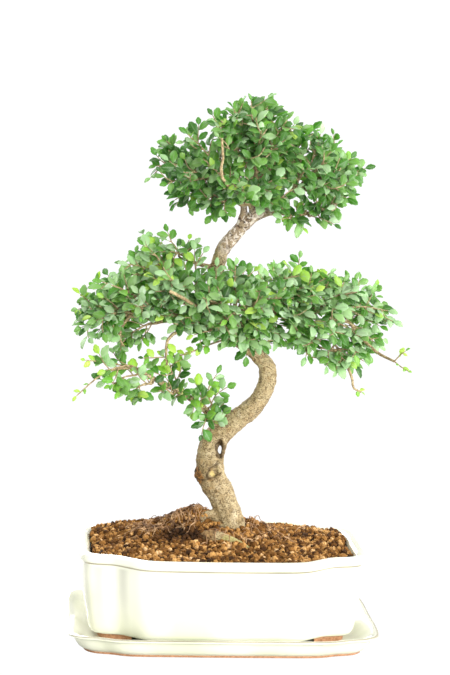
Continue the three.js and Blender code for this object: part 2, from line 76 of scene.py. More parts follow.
def add_node(owner, kind, settings=None, inputs=None):
    """Adds a node to the tree of a material or a socket: its settings and each input's value or link."""
    tree = getattr(owner, "node_tree", None) or owner.id_data
    node = tree.nodes.new("ShaderNode" + kind)
    for name, value in (settings or {}).items():
        if name == "stops":
            while len(node.color_ramp.elements) < len(value):
                node.color_ramp.elements.new(0.5)
            for element, (position, colour) in zip(node.color_ramp.elements, value):
                element.position = position
                element.color = linear(colour)
        else:
            setattr(node, name, value)
    for name, value in (inputs or {}).items():
        if isinstance(value, bpy.types.NodeSocket):
            tree.links.new(value, node.inputs[name])
        else:
            node.inputs[name].default_value = value
    return node


def new_material(name):
    """A material without a shader yet, and where its points lie on the object."""
    material = bpy.data.materials.new(name)
    material.use_nodes = True
    material.node_tree.nodes.clear()
    return material, add_node(material, "TexCoord").outputs["Object"]


def finish(shader):
    """Ends a material in a shader's output."""
    add_node(shader, "OutputMaterial", None, {"Surface": shader})


def shape(kind, **settings):
    """A basic mesh, which alone is selected and active then."""
    bpy.ops.object.select_all(action="DESELECT")
    getattr(bpy.ops.mesh, f"primitive_{kind}_add")(**settings)
    return bpy.context.active_object


# Paper lights the object from below like a white table, but shows as burnt out white itself
floor_white, _ = new_material("matt_white_paper")
paper = add_node(floor_white, "BsdfDiffuse", None, {"Color": linear("#c6c6c2")}).outputs[0]
burnt_out = add_node(floor_white, "Emission", None, {
    "Color": linear("#ffffff"), "Strength": SEEN_WHITE}).outputs[0]
seen = add_node(floor_white, "LightPath").outputs["Is Camera Ray"]
finish(add_node(floor_white, "MixShader", None, {0: seen, 1: paper, 2: burnt_out}).outputs[0])

floor = shape("plane", size=FLOOR_SIZE, location=(0, 0, 0))
floor.name = "studio_floor"
floor.data.materials.append(floor_white)

world = bpy.data.worlds.new("white_surroundings")
world.use_nodes = True
sky = world.node_tree.nodes["Background"]
sky.inputs["Color"].default_value = linear("#ffffff")
strength = add_node(world, "MapRange", None, {
    "Value": add_node(world, "LightPath").outputs["Is Camera Ray"],
    "To Min": SOFT_LIGHT, "To Max": SEEN_WHITE})
world.node_tree.links.new(strength.outputs[0], sky.inputs["Strength"])
bpy.context.scene.world = world
for name, (place, size, watts) in LIGHTS.items():
    lamp = bpy.data.lights.new(name, "AREA")
    lamp.size, lamp.energy = size, watts
    lamp_object = bpy.data.objects.new(name, lamp)
    bpy.context.scene.collection.objects.link(lamp_object)
    lamp_object.location = place
    towards = Vector(LIGHTS_AIM) - Vector(place)
    lamp_object.rotation_euler = towards.to_track_quat("-Z", "Y").to_euler()
bpy.context.scene.view_settings.view_transform = "Standard"

# Glazed stoneware of the pot and the tray: a dense clay body, slip cast in a mould and dipped
# in a creamy white glaze. It is glossy and a little uneven in tint; grey is painted under the lip
# and along the upright folds of the pot's corners as shade.
MM = 0.001
GLAZE_WHITE, GLAZE_CREAM, GLAZE_FOLD_SHADE = "#e2e2d2", "#d4d6be", "#bcbcae"
GLAZE_LIP_SHADE_AND_RIM = ("#8f8a76", "#a8a28c")
# Upright folds at the pot's corners where grey shade is painted: x and y in mm, and its reach
FOLDS = {(75, 64): 8.5, (91, 57.5): 7.5}
FOLDS_END = (59.5, 61.5)
BARE_CLAY, BARE_CLAY_DARK = "#c99670", "#a06f4c"


def noise(place, size, detail=2, rough=0.5):
    """Noise whose lumps are about the given size in mm."""
    return add_node(place, "TexNoise", None, {
        "Vector": place, "Scale": 1 / (size * MM), "Detail": detail, "Roughness": rough}).outputs["Fac"]


def picked(value, stops):
    """The colour that a value picks from stops between 0 and 1."""
    return add_node(value, "ValToRGB", {"stops": stops}, {0: value}).outputs["Color"]


def mapped(value, low, high, at_low=0.0, at_high=1.0, curve="LINEAR"):
    """A value carried from one range over to another and held at its ends."""
    return add_node(value, "MapRange", {"interpolation_type": curve}, {
        "Value": value, "From Min": low, "From Max": high, "To Min": at_low, "To Max": at_high}).outputs[0]


def calc(operation, *values):
    """The result of one sum on values."""
    return add_node(values[0], "Math", {"operation": operation}, dict(enumerate(values))).outputs[0]


def calc_points(operation, *values):
    """The result of one sum on points, or the length of one."""
    node = add_node(values[0], "VectorMath", {"operation": operation}, dict(enumerate(values)))
    return node.outputs["Value" if operation == "LENGTH" else "Vector"]


def tinted(under, over, share, strength=1):
    """One colour laid over another by a share from 0 to 1, times a strength."""
    if strength != 1:
        share = calc("MULTIPLY", share, strength)
    return add_node(under, "Mix", {"data_type": "RGBA"}, {
        0: share, 6: under, 7: linear(over) if isinstance(over, str) else over}).outputs[2]


def skin(colour, rough, relief=None, more=None):
    """A surface's shader. The relief, too fine for the mesh, is a height, a strength and a depth in mm."""
    inputs = {"Base Color": colour, "Roughness": rough, **(more or {})}
    if relief:
        height, strength, depth = relief
        inputs["Normal"] = add_node(height, "Bump", None, {
            "Height": height, "Strength": strength, "Distance": depth * MM}).outputs["Normal"]
    return add_node(colour, "BsdfPrincipled", None, inputs).outputs[0]


# Glaze: soft clouds of cream in white, and a clear coat that mirrors the lamps in a sharp gleam
glaze, place = new_material("cream_white_glaze")
colour = picked(noise(place, 45), [(0.35, GLAZE_CREAM), (0.62, GLAZE_WHITE)])
mirrored = calc_points("ABSOLUTE", place)
height = add_node(place, "SeparateXYZ", None, {0: place}).outputs["Z"]
below_lip = mapped(height, FOLDS_END[0] * MM, FOLDS_END[1] * MM, 0.9, 0.0)
# Painted shade: grey along the upright folds of the corners, fading out towards the lip
for (fold_x, fold_y), reach in FOLDS.items():
    flat = calc_points("MULTIPLY_ADD", mirrored, (1, 1, 0), (-fold_x * MM, -fold_y * MM, 0))
    painted_fold_shade = mapped(calc_points("LENGTH", flat), 0.0, reach * MM, below_lip, 0.0, "SMOOTHSTEP")
    colour = tinted(colour, GLAZE_FOLD_SHADE, painted_fold_shade)
finish(skin(colour, 0.16, (noise(place, 9, 1), 0.12, 0.4), {
    "IOR": 1.5, "Coat Weight": 0.35, "Coat Roughness": 0.04}))

# The same glaze in grey brown: painted shade under the pot's lip, and a darker band along the tray rim's
# outer crest
lip_shade_and_rim_glaze = glaze.copy()
lip_shade_and_rim_glaze.name = "glaze_lip_shade_and_rim_band"
lip_tint = [n for n in lip_shade_and_rim_glaze.node_tree.nodes if n.type == "VALTORGB"][0]
for element, tint in zip(lip_tint.color_ramp.elements, GLAZE_LIP_SHADE_AND_RIM):
    element.color = linear(tint)

# Bare fired clay: dull, pinkish and sandy, which tells it from the glaze
bare_clay, place = new_material("unglazed_stoneware")
sand = noise(place, 2.2, 6, 0.7)
finish(skin(picked(sand, [(0.36, BARE_CLAY_DARK), (0.6, BARE_CLAY)]), 0.82, (sand, 0.4, 0.3)))

# Drip tray: a shallow dish of the same plan as the pot with softer corners, glazed all over
# but for the foot ring that it stood on in the kiln, where the pinkish clay shows.
TRAY_WIDTH, TRAY_DEPTH = 114, 90.8
TRAY_QUARTER = [
    (40, TRAY_DEPTH - 0.2), (79, TRAY_DEPTH - 2.1), (90, TRAY_DEPTH - 7.5), (104, TRAY_DEPTH - 11.5),
    (111, TRAY_DEPTH - 19), (TRAY_WIDTH, TRAY_DEPTH - 36), (TRAY_WIDTH + 0.4, 0),
]
TRAY_PROFILE = [
    (16, 0.4), (13, 0), (12.2, 0.3), (12, 1.6), (11.2, 2.3), (9.4, 3.2), (7.4, 5.6), (5.6, 9.2),
    (4.4, 11.4), (2.6, 12.5), (1, 12.9), (0, 13.8), (0.4, 14.7), (1.8, 15.1), (3.6, 14.9),
    (6, 13.2), (9.4, 10.2), (13, 7.2), (17, 5.4), (22, 4.8), (40, 4.8),
]
TRAY_GLAZE_FROM, TRAY_RIM_BAND_FROM = 2.0, 14.25


def follow(points, count, closed=False):
    """Evenly spaced points on the smooth line through the given points."""
    def blend(p, q, at_p, at_q, t):
        return (p * (at_q - t) + q * (t - at_p)) / (at_q - at_p)

    knots = np.array(points, float)
    if closed:
        padded = np.vstack([knots[-1:], knots, knots[:2]])
    else:
        padded = np.vstack([2 * knots[0] - knots[1], knots, 2 * knots[-1] - knots[-2]])
    line = []
    for a, b, c, d in zip(padded, padded[1:], padded[2:], padded[3:]):
        gaps = [math.sqrt(np.linalg.norm(q - p)) + 1e-9 for p, q in ((a, b), (b, c), (c, d))]
        tb, tc, td = gaps[0], gaps[0] + gaps[1], gaps[0] + gaps[1] + gaps[2]
        for t in np.linspace(tb, tc, 14, endpoint=False):
            ab, bc, cd = blend(a, b, 0, tb, t), blend(b, c, tb, tc, t), blend(c, d, tc, td, t)
            line.append(blend(blend(ab, bc, 0, tc, t), blend(bc, cd, tb, td, t), tb, tc, t))
    line.append(knots[0] if closed else knots[-1])
    line = np.array(line)
    run = np.concatenate([[0], np.cumsum(np.linalg.norm(np.diff(line, axis=0), axis=1))])
    steps = np.linspace(0, run[-1], count + 1 if closed else count)
    evenly = np.column_stack([np.interp(steps, run, line[:, k]) for k in range(line.shape[1])])
    return evenly[:-1] if closed else evenly


def select_only(*pieces):
    """Selects the given pieces and nothing else. The first of them is the active one."""
    bpy.ops.object.select_all(action="DESELECT")
    for piece in pieces:
        piece.select_set(True)
    bpy.context.view_layer.objects.active = pieces[0]


def apply_modifier(piece, kind, **settings):
    """Adds a modifier with its settings and applies it."""
    modifier = piece.modifiers.new(kind.lower(), kind)
    for name, value in settings.items():
        setattr(modifier, name, value)
    select_only(piece)
    bpy.ops.object.modifier_apply(modifier=modifier.name)


@contextmanager
def editing():
    """Edit mode for the active mesh, with all of it selected."""
    bpy.ops.object.mode_set(mode="EDIT")
    bpy.ops.mesh.select_all(action="SELECT")
    yield
    bpy.ops.object.mode_set(mode="OBJECT")


def whole_plan(quarter, count):
    """The smooth plan outline made of one quarter, mirrored to all four corners."""
    back = quarter[::-1]
    corners = [(x, -y) for x, y in quarter] + back[1:]
    corners += [(-x, y) for x, y in quarter] + [(-x, -y) for x, y in back[1:]]
    return follow(corners, count, closed=True)


def extrude_up(rise):
    """Draws what is selected upwards by a rise in mm."""
    bpy.ops.mesh.extrude_region_move(TRANSFORM_OT_translate={"value": (0, 0, rise * MM)})


def raise_wall(name, plan, half_width, half_depth, profile):
    """A closed vessel wall: the plan as a ring, extruded and drawn in for each (inset, height) in mm."""
    def share(inset):
        return (half_width - inset) / half_width, (half_depth - inset) / half_depth

    wall = shape("circle", vertices=len(plan), radius=1)
    wall.name = name
    wide, deep = share(profile[0][0])
    for vertex, (x, y) in zip(wall.data.vertices, plan):
        vertex.co = (x * wide * MM, y * deep * MM, profile[0][1] * MM)
    with editing():
        for (inset, height), (next_inset, next_height) in zip(profile, profile[1:]):
            wide, deep = share(inset)
            next_wide, next_deep = share(next_inset)
            extrude_up(next_height - height)
            bpy.ops.transform.resize(
                value=(next_wide / wide, next_deep / deep, 1), center_override=(0, 0, 0))
    apply_modifier(wall, "SUBSURF", levels=1, render_levels=1)
    with editing():
        bpy.ops.mesh.fill_holes(sides=0)
        bpy.ops.mesh.normals_make_consistent(inside=False)
    return wall


def shade_by_angle(piece, degrees):
    """Smooth shading with edges sharper than the angle left crisp."""
    select_only(piece)
    bpy.ops.object.shade_smooth_by_angle(angle=math.radians(degrees))


def wear(piece, *materials):
    """Gives a piece these materials and no others."""
    piece.data.materials.clear()
    for material in materials:
        piece.data.materials.append(material)


tray = raise_wall("glazed_tray", whole_plan(TRAY_QUARTER, 140), TRAY_WIDTH, TRAY_DEPTH, TRAY_PROFILE)
wear(tray, glaze, bare_clay, lip_shade_and_rim_glaze)
# Faces low down are bare clay, and the rim's outward crest gets a darker grey-brown band
for face in tray.data.polygons:
    bare = face.center.z < TRAY_GLAZE_FROM * MM
    outward = face.normal.x * face.center.x + face.normal.y * face.center.y > 0
    face.material_index = 1 if bare else 2 if face.center.z > TRAY_RIM_BAND_FROM * MM and outward else 0
shade_by_angle(tray, 50)
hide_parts("drip_tray")
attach(tray, "root")

# Pot: bowed long sides that step back at 45 degrees to a lobe at each corner, under a rolled lip.
# It was cast in one piece with four corner feet, which were wiped bare before the firing.
POT_WIDTH, POT_DEPTH, POT_RIM = 104.8, 81.6, 69.7
POT_QUARTER = [
    (26, POT_DEPTH), (59, POT_DEPTH - 3.5), (73, POT_DEPTH - 15), (82, POT_DEPTH - 22.5),
    (94, POT_DEPTH - 25), (101.5, POT_DEPTH - 29.5), (POT_WIDTH, POT_DEPTH - 41), (POT_WIDTH + 0.4, 0),
]
POT_PROFILE = [
    (40, 10.4), (12.6, 9.6), (10, 9.6), (8.2, 10.9), (6.9, 14.6), (5.9, 22.4), (5, 28.4), (4.1, 35),
    (3.2, 43), (2.6, 52), (2.4, 60), (2.5, 62), (2.2, 62.9), (0.8, 63.3), (0.1, 64.6), (0, 66.4),
    (0.4, 68.2), (1.6, 69.3), (3.4, POT_RIM), (5.4, 69.5), (7.4, 68.4), (8.6, 66), (9, 60), (9.8, 46),
    (11.4, 32), (14.5, 24), (20, 18), (28, 17), (45, 17),
]
# Heights in mm of the painted shade line under the lip
LIP_LINE = (61.8, 63.15)
FOOT_INSETS, FOOT_FROM = (14.6, 28), (66, 20)
FOOT_BOTTOM, FOOT_TOP, FOOT_BARE_TO = 5.1, 13, 9.3
DRAIN_PLACE, DRAIN_RADIUS, DRAIN_MIDDLE, DRAIN_DEPTH = 45, 7, 14, 20
OUTSIDE_FROM = (POT_WIDTH - 8, POT_DEPTH - 36)

pot_plan = whole_plan(POT_QUARTER, 168)
pot = raise_wall("glazed_pot", pot_plan, POT_WIDTH, POT_DEPTH, POT_PROFILE)


def pot_plan_inside(inset):
    """The pot's outline drawn in by an inset in mm."""
    return pot_plan * [(POT_WIDTH - inset) / POT_WIDTH, (POT_DEPTH - inset) / POT_DEPTH]


def foot_corners(sx, sy):
    """The plan of one foot: the pot's outline at its corner between two insets, in mm."""
    rings = []
    for inset in FOOT_INSETS:
        kept = [p for p in pot_plan_inside(inset)
                if p[0] * sx > FOOT_FROM[0] and p[1] * sy > FOOT_FROM[1]]
        rings.append(sorted(kept, key=lambda p: math.atan2(p[1] * sy - FOOT_FROM[1], p[0] * sx)))
    return rings[0] + rings[1][::-1]


def combine(piece, operation, tool):
    """Joins a tool body to a piece or cuts it out, and takes the tool away."""
    apply_modifier(piece, "BOOLEAN", operation=operation, object=tool, solver="MANIFOLD")
    bpy.data.objects.remove(tool)


for sx in (-1, 1):
    for sy in (-1, 1):
        corners = foot_corners(sx, sy)
        foot = shape("circle", vertices=len(corners), radius=1, fill_type="NGON")
        for vertex, (x, y) in zip(foot.data.vertices, corners):
            vertex.co = (x * MM, y * MM, FOOT_BOTTOM * MM)
        with editing():
            extrude_up(FOOT_TOP - FOOT_BOTTOM)
            bpy.ops.mesh.select_all(action="SELECT")
            bpy.ops.mesh.normals_make_consistent(inside=False)
        combine(pot, "UNION", foot)
    combine(pot, "DIFFERENCE", shape(
        "cylinder", vertices=32, radius=DRAIN_RADIUS * MM, depth=DRAIN_DEPTH * MM,
        location=(sx * DRAIN_PLACE * MM, 0, DRAIN_MIDDLE * MM)))

# A thin grey line of painted shade runs under the lip's lower edge
wear(pot, glaze, bare_clay, lip_shade_and_rim_glaze)
for face in pot.data.polygons:
    x, y, z = face.center
    outside = abs(x) > OUTSIDE_FROM[0] * MM or abs(y) > OUTSIDE_FROM[1] * MM
    painted_lip_shade = outside and LIP_LINE[0] * MM < z < LIP_LINE[1] * MM
    face.material_index = 1 if z < FOOT_BARE_TO * MM else 2 if painted_lip_shade else 0
shade_by_angle(pot, 50)
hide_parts("pot")
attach(pot, "root")

# Drainage screens: squares of black moulded polyethylene mesh over the two drain holes.
# They keep their solids, with the slight sheen and drawn lines of moulded plastic.
black_mesh, place = new_material("moulded_black_polyethylene")
drawn = noise(place, 1.5, 3)
finish(skin(picked(drawn, [(0.3, "#161715"), (0.7, "#2a2b29")]), 0.45, (drawn, 0.2, 0.1)))
for name in ("drain_screen_left", "drain_screen_right"):
    wear(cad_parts[name], black_mesh)

# Soil: baked clay granules, 2 to 5 mm, ochre to dark brown, heaped a little towards the trunk.
# The bulk keeps its solid, and a loose layer of single granules lies on it.
GRAIN_PITCH, GRAIN_RADII, HEAPED_RADII, CRUMB_RADII = 3.0, (1.2, 2.6), (1.3, 2.3), (0.6, 1.7)
SMALLER_SHARE, SMALLER, OFF_ROW, STRETCH = 0.3, 0.75, (-1, 1), (0.78, 1.18)
KINDS, ROUNDING, KNOCKS, TONE_SPREAD = 3, 0.85, (0.66, 1.2), (2.4, 2.2)
GRAIN_COLOURS = [
    (0.0, "#1a0e04"), (0.2, "#3e2610"), (0.42, "#68441c"), (0.62, "#8c6230"), (0.82, "#b4884e"),
    (1.0, "#dab688"),
]
LAYER_FIRST, LAYER_PITCH, LAYER_OVER = 1.6, 1.9, 0.8
# Heaps: place x and y, half widths and height, in mm
HEAPS = [(-74, 40, 34, 26, 5), (-86, 56, 22, 20, 4.5), (-50, 20, 20, 22, 3), (60, 46, 34, 22, 3.5),
         (25, 18, 13, 16, 5.5)]
ROOT_MASS = {"crest": [(-60, 71), (-46, 80), (-36, 85), (-28, 89.5), (-22, 92), (-16, 92.5), (-11, 89)],
             "foot": 66, "middle": 13, "half": 12, "deep": 4.5, "crumbs": 2000, "lumps": 2.2,
             "lump": 0.12, "radii": (0.7, 1.7)}
# Painted shade: granules round the trunk's foot and under the old roots are darker; centre and half sizes in
# mm, and the tone kept at the middle
ROOT_FOOT_SHADE = {"centre": (-26, -9, 74), "half": (28, 18, 9), "darker": 0.22}
ROOT_CRUMBS = [{"x": (-52, -9), "y": (-4, 24), "below": 92, "count": 700},
               {"x": (-18, -1), "y": (-17, -2), "below": 85, "count": 260}]
SOIL_INSET = 10.2
rng = np.random.default_rng(7)


def noted(owner, name):
    """A value that was noted on the mesh, point by point."""
    return add_node(owner, "Attribute", {"attribute_name": name}).outputs["Fac"]


def clay_material(name, by_grain):
    """Baked clay: each granule in its own tint, or the bulk mottled by noise, always dull and gritty."""
    clay, spot = new_material(name)
    speckle = noise(spot, 1.1, 5, 0.75)
    own = noted(spot, "tone") if by_grain else noise(spot, 3)
    mixed = calc("SUBTRACT", calc("MULTIPLY_ADD", speckle, 0.5, own), 0.25)
    finish(skin(picked(mixed, GRAIN_COLOURS), 0.93, (speckle, 0.6, 0.35), {"Specular IOR Level": 0.2}))
    return clay


def copies_of(name, template, turns, spots, tones, smooth):
    """One mesh of many copies of a template, each turned and scaled, put in place and given its tone."""
    def fill(rows, key, values, kind):
        rows.foreach_set(key, values.astype(kind).ravel())

    mesh = template.data
    points = np.array([v.co for v in mesh.vertices])
    loops = np.array([loop.vertex_index for loop in mesh.loops])
    starts = np.array([p.loop_start for p in mesh.polygons])
    totals = np.array([p.loop_total for p in mesh.polygons])
    uv = np.array([d.uv for d in mesh.uv_layers.active.data])
    made, count = bpy.data.meshes.new(name), len(spots)
    placed = np.einsum("kij,vj->kvi", turns, points) + np.array(spots)[:, None, :]
    shift = np.arange(count)[:, None]
    made.vertices.add(count * len(points))
    fill(made.vertices, "co", placed, np.float32)
    made.loops.add(count * len(loops))
    fill(made.loops, "vertex_index", loops + shift * len(points), np.int32)
    made.polygons.add(count * len(starts))
    fill(made.polygons, "loop_start", starts + shift * len(loops), np.int32)
    fill(made.polygons, "loop_total", np.tile(totals, count), np.int32)
    fill(made.uv_layers.new(name="blade").data, "uv", np.tile(uv, (count, 1)), np.float32)
    tone = made.attributes.new("tone", "FLOAT", "POINT")
    fill(tone.data, "value", np.repeat(tones, len(points)), np.float32)
    made.update()
    made.polygons.foreach_set("use_smooth", [smooth] * len(made.polygons))
    piece = bpy.data.objects.new(name, made)
    bpy.context.scene.collection.objects.link(piece)
    return piece


def random_turns(count):
    """Random rotation matrices."""
    turns = rng.normal(size=(count, 4))
    turns /= np.linalg.norm(turns, axis=1)[:, None]
    return np.array([Quaternion(turn).to_matrix() for turn in turns])


def granule(seed):
    """One crumb of clay: a cube rounded into a ball, then knocked about."""
    crumb = shape("cube", size=2)
    with editing():
        bpy.ops.mesh.subdivide(number_cuts=1)
        bpy.ops.transform.tosphere(value=ROUNDING)
    knock = random.Random(seed)
    for vertex in crumb.data.vertices:
        vertex.co *= knock.uniform(*KNOCKS) / max(vertex.co.length, 1e-6)
    return crumb


def surface_of(piece):
    """A piece's surface, ready for rays."""
    return BVHTree.FromObject(piece, bpy.context.evaluated_depsgraph_get())


def plumb(tree, x, y, start=0.12):
    """Where a plumb line at x and y in mm, from a start in metres, meets a surface, if it does."""
    return tree.ray_cast(Vector((x * MM, y * MM, start)), Vector((0, 0, -1)))[0]


def inside_plan(x, y, plan):
    """Whether a point lies inside a closed plan outline."""
    ax, ay = plan[:, 0], plan[:, 1]
    bx, by = np.roll(ax, -1), np.roll(ay, -1)
    crosses = ((ay > y) != (by > y)) & (x < (bx - ax) * (y - ay) / (by - ay + 1e-12) + ax)
    return crosses.sum() % 2 == 1


wear(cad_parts["soil"], clay_material("packed_clay_granules", False))
soil_tree, wood_tree = surface_of(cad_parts["soil"]), surface_of(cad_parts["trunk"])
soil_plan = pot_plan_inside(SOIL_INSET)
row_pitch = GRAIN_PITCH * 0.866

grain_spots, grain_sizes, heaped_spots, heaped_sizes = [], [], [], []
for row in range(int(2 * POT_DEPTH / row_pitch)):
    for column in range(int(2 * POT_WIDTH / GRAIN_PITCH)):
        x = -POT_WIDTH + (column + 0.5 * (row % 2)) * GRAIN_PITCH + rng.uniform(*OFF_ROW)
        y = -POT_DEPTH + row * row_pitch + rng.uniform(*OFF_ROW)
        if not inside_plan(x, y, soil_plan):
            continue
        hit = plumb(soil_tree, x, y)
        size = rng.uniform(*GRAIN_RADII) * (SMALLER if rng.random() < SMALLER_SHARE else 1)
        if hit is None or wood_tree.find_nearest(hit)[3] < 0.5 * size * MM:
            continue
        grain_spots.append((x * MM, y * MM, hit.z + rng.uniform(0.1, 0.9) * size * MM))
        grain_sizes.append(size)
        # Where the soil is heaped up, further granules lie on the first layer
        for at_x, at_y, wide, deep, high in HEAPS:
            heap = high * math.exp(-((x - at_x) / wide) ** 2 - ((y - at_y) / deep) ** 2)
            for lift in np.arange(LAYER_FIRST, heap + LAYER_OVER, LAYER_PITCH):
                heaped_spots.append((
                    (x + rng.uniform(*OFF_ROW)) * MM, (y + rng.uniform(*OFF_ROW)) * MM,
                    hit.z + (lift + 0.5 * size) * MM))
                heaped_sizes.append(rng.uniform(*HEAPED_RADII))

# Crumbs and dirt cling to the old root mass at the left
crumb_spots, crumb_sizes = [], []
for patch in ROOT_CRUMBS:
    for _ in range(patch["count"]):
        x, y = rng.uniform(*patch["x"]), rng.uniform(*patch["y"])
        hit, ground = plumb(wood_tree, x, y, 0.098), plumb(soil_tree, x, y)
        if hit is None or hit.z > patch["below"] * MM or (ground is not None and ground.z > hit.z):
            continue
        size = rng.uniform(*CRUMB_RADII)
        crumb_spots.append((x * MM, y * MM, hit.z + 0.3 * size * MM))
        crumb_sizes.append(size)

# The old root mass is a heap of fine crumbs held together by fibres
crest_x, crest_z = zip(*ROOT_MASS["crest"])
for _ in range(ROOT_MASS["crumbs"]):
    x, side = rng.uniform(crest_x[0], crest_x[-1]), rng.uniform(-1, 1)
    y = ROOT_MASS["middle"] + side * ROOT_MASS["half"]
    lumps = ROOT_MASS["lumps"] * noise_at((ROOT_MASS["lump"] * x, ROOT_MASS["lump"] * y, 0.0))
    rise = np.interp(x, crest_x, crest_z) - ROOT_MASS["foot"]
    top = ROOT_MASS["foot"] + rise * math.sqrt(1 - side * side) + lumps
    crumb_spots.append((x * MM, y * MM, (top - ROOT_MASS["deep"] * rng.random() ** 2) * MM))
    crumb_sizes.append(rng.uniform(*ROOT_MASS["radii"]))


def join(name, *pieces):
    """Joins pieces into one with the given name."""
    select_only(*pieces)
    bpy.ops.object.join()
    pieces[0].name = name
    return pieces[0]


def heap_of_clay(name, spots, sizes):
    """A piece of many granules of three shapes, each stretched, turned and tinted by chance, and darker near
    the trunk's foot as painted shade.
    """
    spots, sizes = np.array(spots), np.array(sizes)
    shade_reach = np.linalg.norm((spots / MM - ROOT_FOOT_SHADE["centre"]) / ROOT_FOOT_SHADE["half"], axis=1)
    painted_root_shade = 1 - (1 - ROOT_FOOT_SHADE["darker"]) * np.clip(2 - 2 * shade_reach, 0, 1)
    kinds = rng.integers(0, KINDS, len(spots))
    layers = []
    for kind in range(KINDS):
        crumb = granule(kind)
        chosen = kinds == kind
        count = int(chosen.sum())
        stretch = rng.uniform(*STRETCH, (count, 3)) * sizes[chosen][:, None] * MM
        # Tones are darkened by the painted shade near the trunk's foot
        tones = rng.beta(*TONE_SPREAD, count) * painted_root_shade[chosen]
        turns = random_turns(count) * stretch[:, None, :]
        layers.append(copies_of(f"{name}_{kind}", crumb, turns, spots[chosen], tones, False))
        layers[-1].data.materials.append(grain_clay)
        bpy.data.objects.remove(crumb)
    heap = join(name, *layers)
    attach(heap, "root")
    return heap


grain_clay = clay_material("baked_clay_granules", True)
grains = heap_of_clay("clay_grains_on_top", grain_spots, grain_sizes)
heaped = heap_of_clay("clay_grains_heaped_up", heaped_spots, heaped_sizes)
old_earth = heap_of_clay("earth_on_old_roots", crumb_spots, crumb_sizes)

# Trunk, roots and boughs: one living piece of wood, thick at the foot and snaking upwards.
# Its bark is pale tan, flaking and pitted, with dark specks in the pits, and shade is painted in olive on its
# left side.
TRUNK_ROUTE = [
    (14, 10, 50), (10, 10, 74), (5, 10, 91), (1, 10, 102), (-7, 8, 117), (-8.5, 6, 133), (-4.5, 4, 147),
    (7, 2, 158.5), (19.5, 0, 168.5), (28, 0, 179), (32, 0, 191), (31.5, 0, 201), (25, 2, 209), (15, 4, 217),
    (5, 6, 225), (-3, 8, 234), (-8, 8, 246), (-9, 8, 260), (-6, 8, 277), (-3, 6, 287), (4, 4, 297),
    (12, 2, 306), (19, 0, 312.5), (27, 0, 316), (36, 0, 317),
]
TRUNK_RADII = [9, 11, 9.8, 10.8, 10.2, 8.6, 7.2, 6.4, 5.6, 5.4, 5.5, 5.4, 5.2, 4.6, 3.4]
ROOTS = [
    ([(6, 8, 82), (-8, 6, 89), (-13, 5, 86), (-14, 4, 78), (-16, 2, 66)], [4.5, 3.2, 2.4, 2.2, 1.6]),
    ([(8, 9, 79), (-7, -3, 77), (-15, -11, 75), (-9, -18, 76.5), (5, -22, 75), (19, -26, 69), (30, -28, 60)],
     [4, 3, 3.4, 5.2, 3, 2.2, 1]),
    ([(4, 8, 84), (-14, 10, 88), (-30, 10, 83), (-44, 6, 74), (-56, 2, 60)], [5, 3.6, 3, 2.2, 1.2]),
    ([(8, 12, 74), (24, 20, 74), (40, 28, 64), (52, 34, 50)], [5, 3.6, 2.4, 1.2]),
    ([(8, 8, 72), (20, 0, 68), (34, -8, 56), (44, -14, 42)], [5, 3.4, 2.2, 1.2]),
    ([(6, 14, 74), (-4, 28, 72), (-16, 40, 60), (-26, 48, 44)], [5, 3.4, 2.2, 1.2]),
]
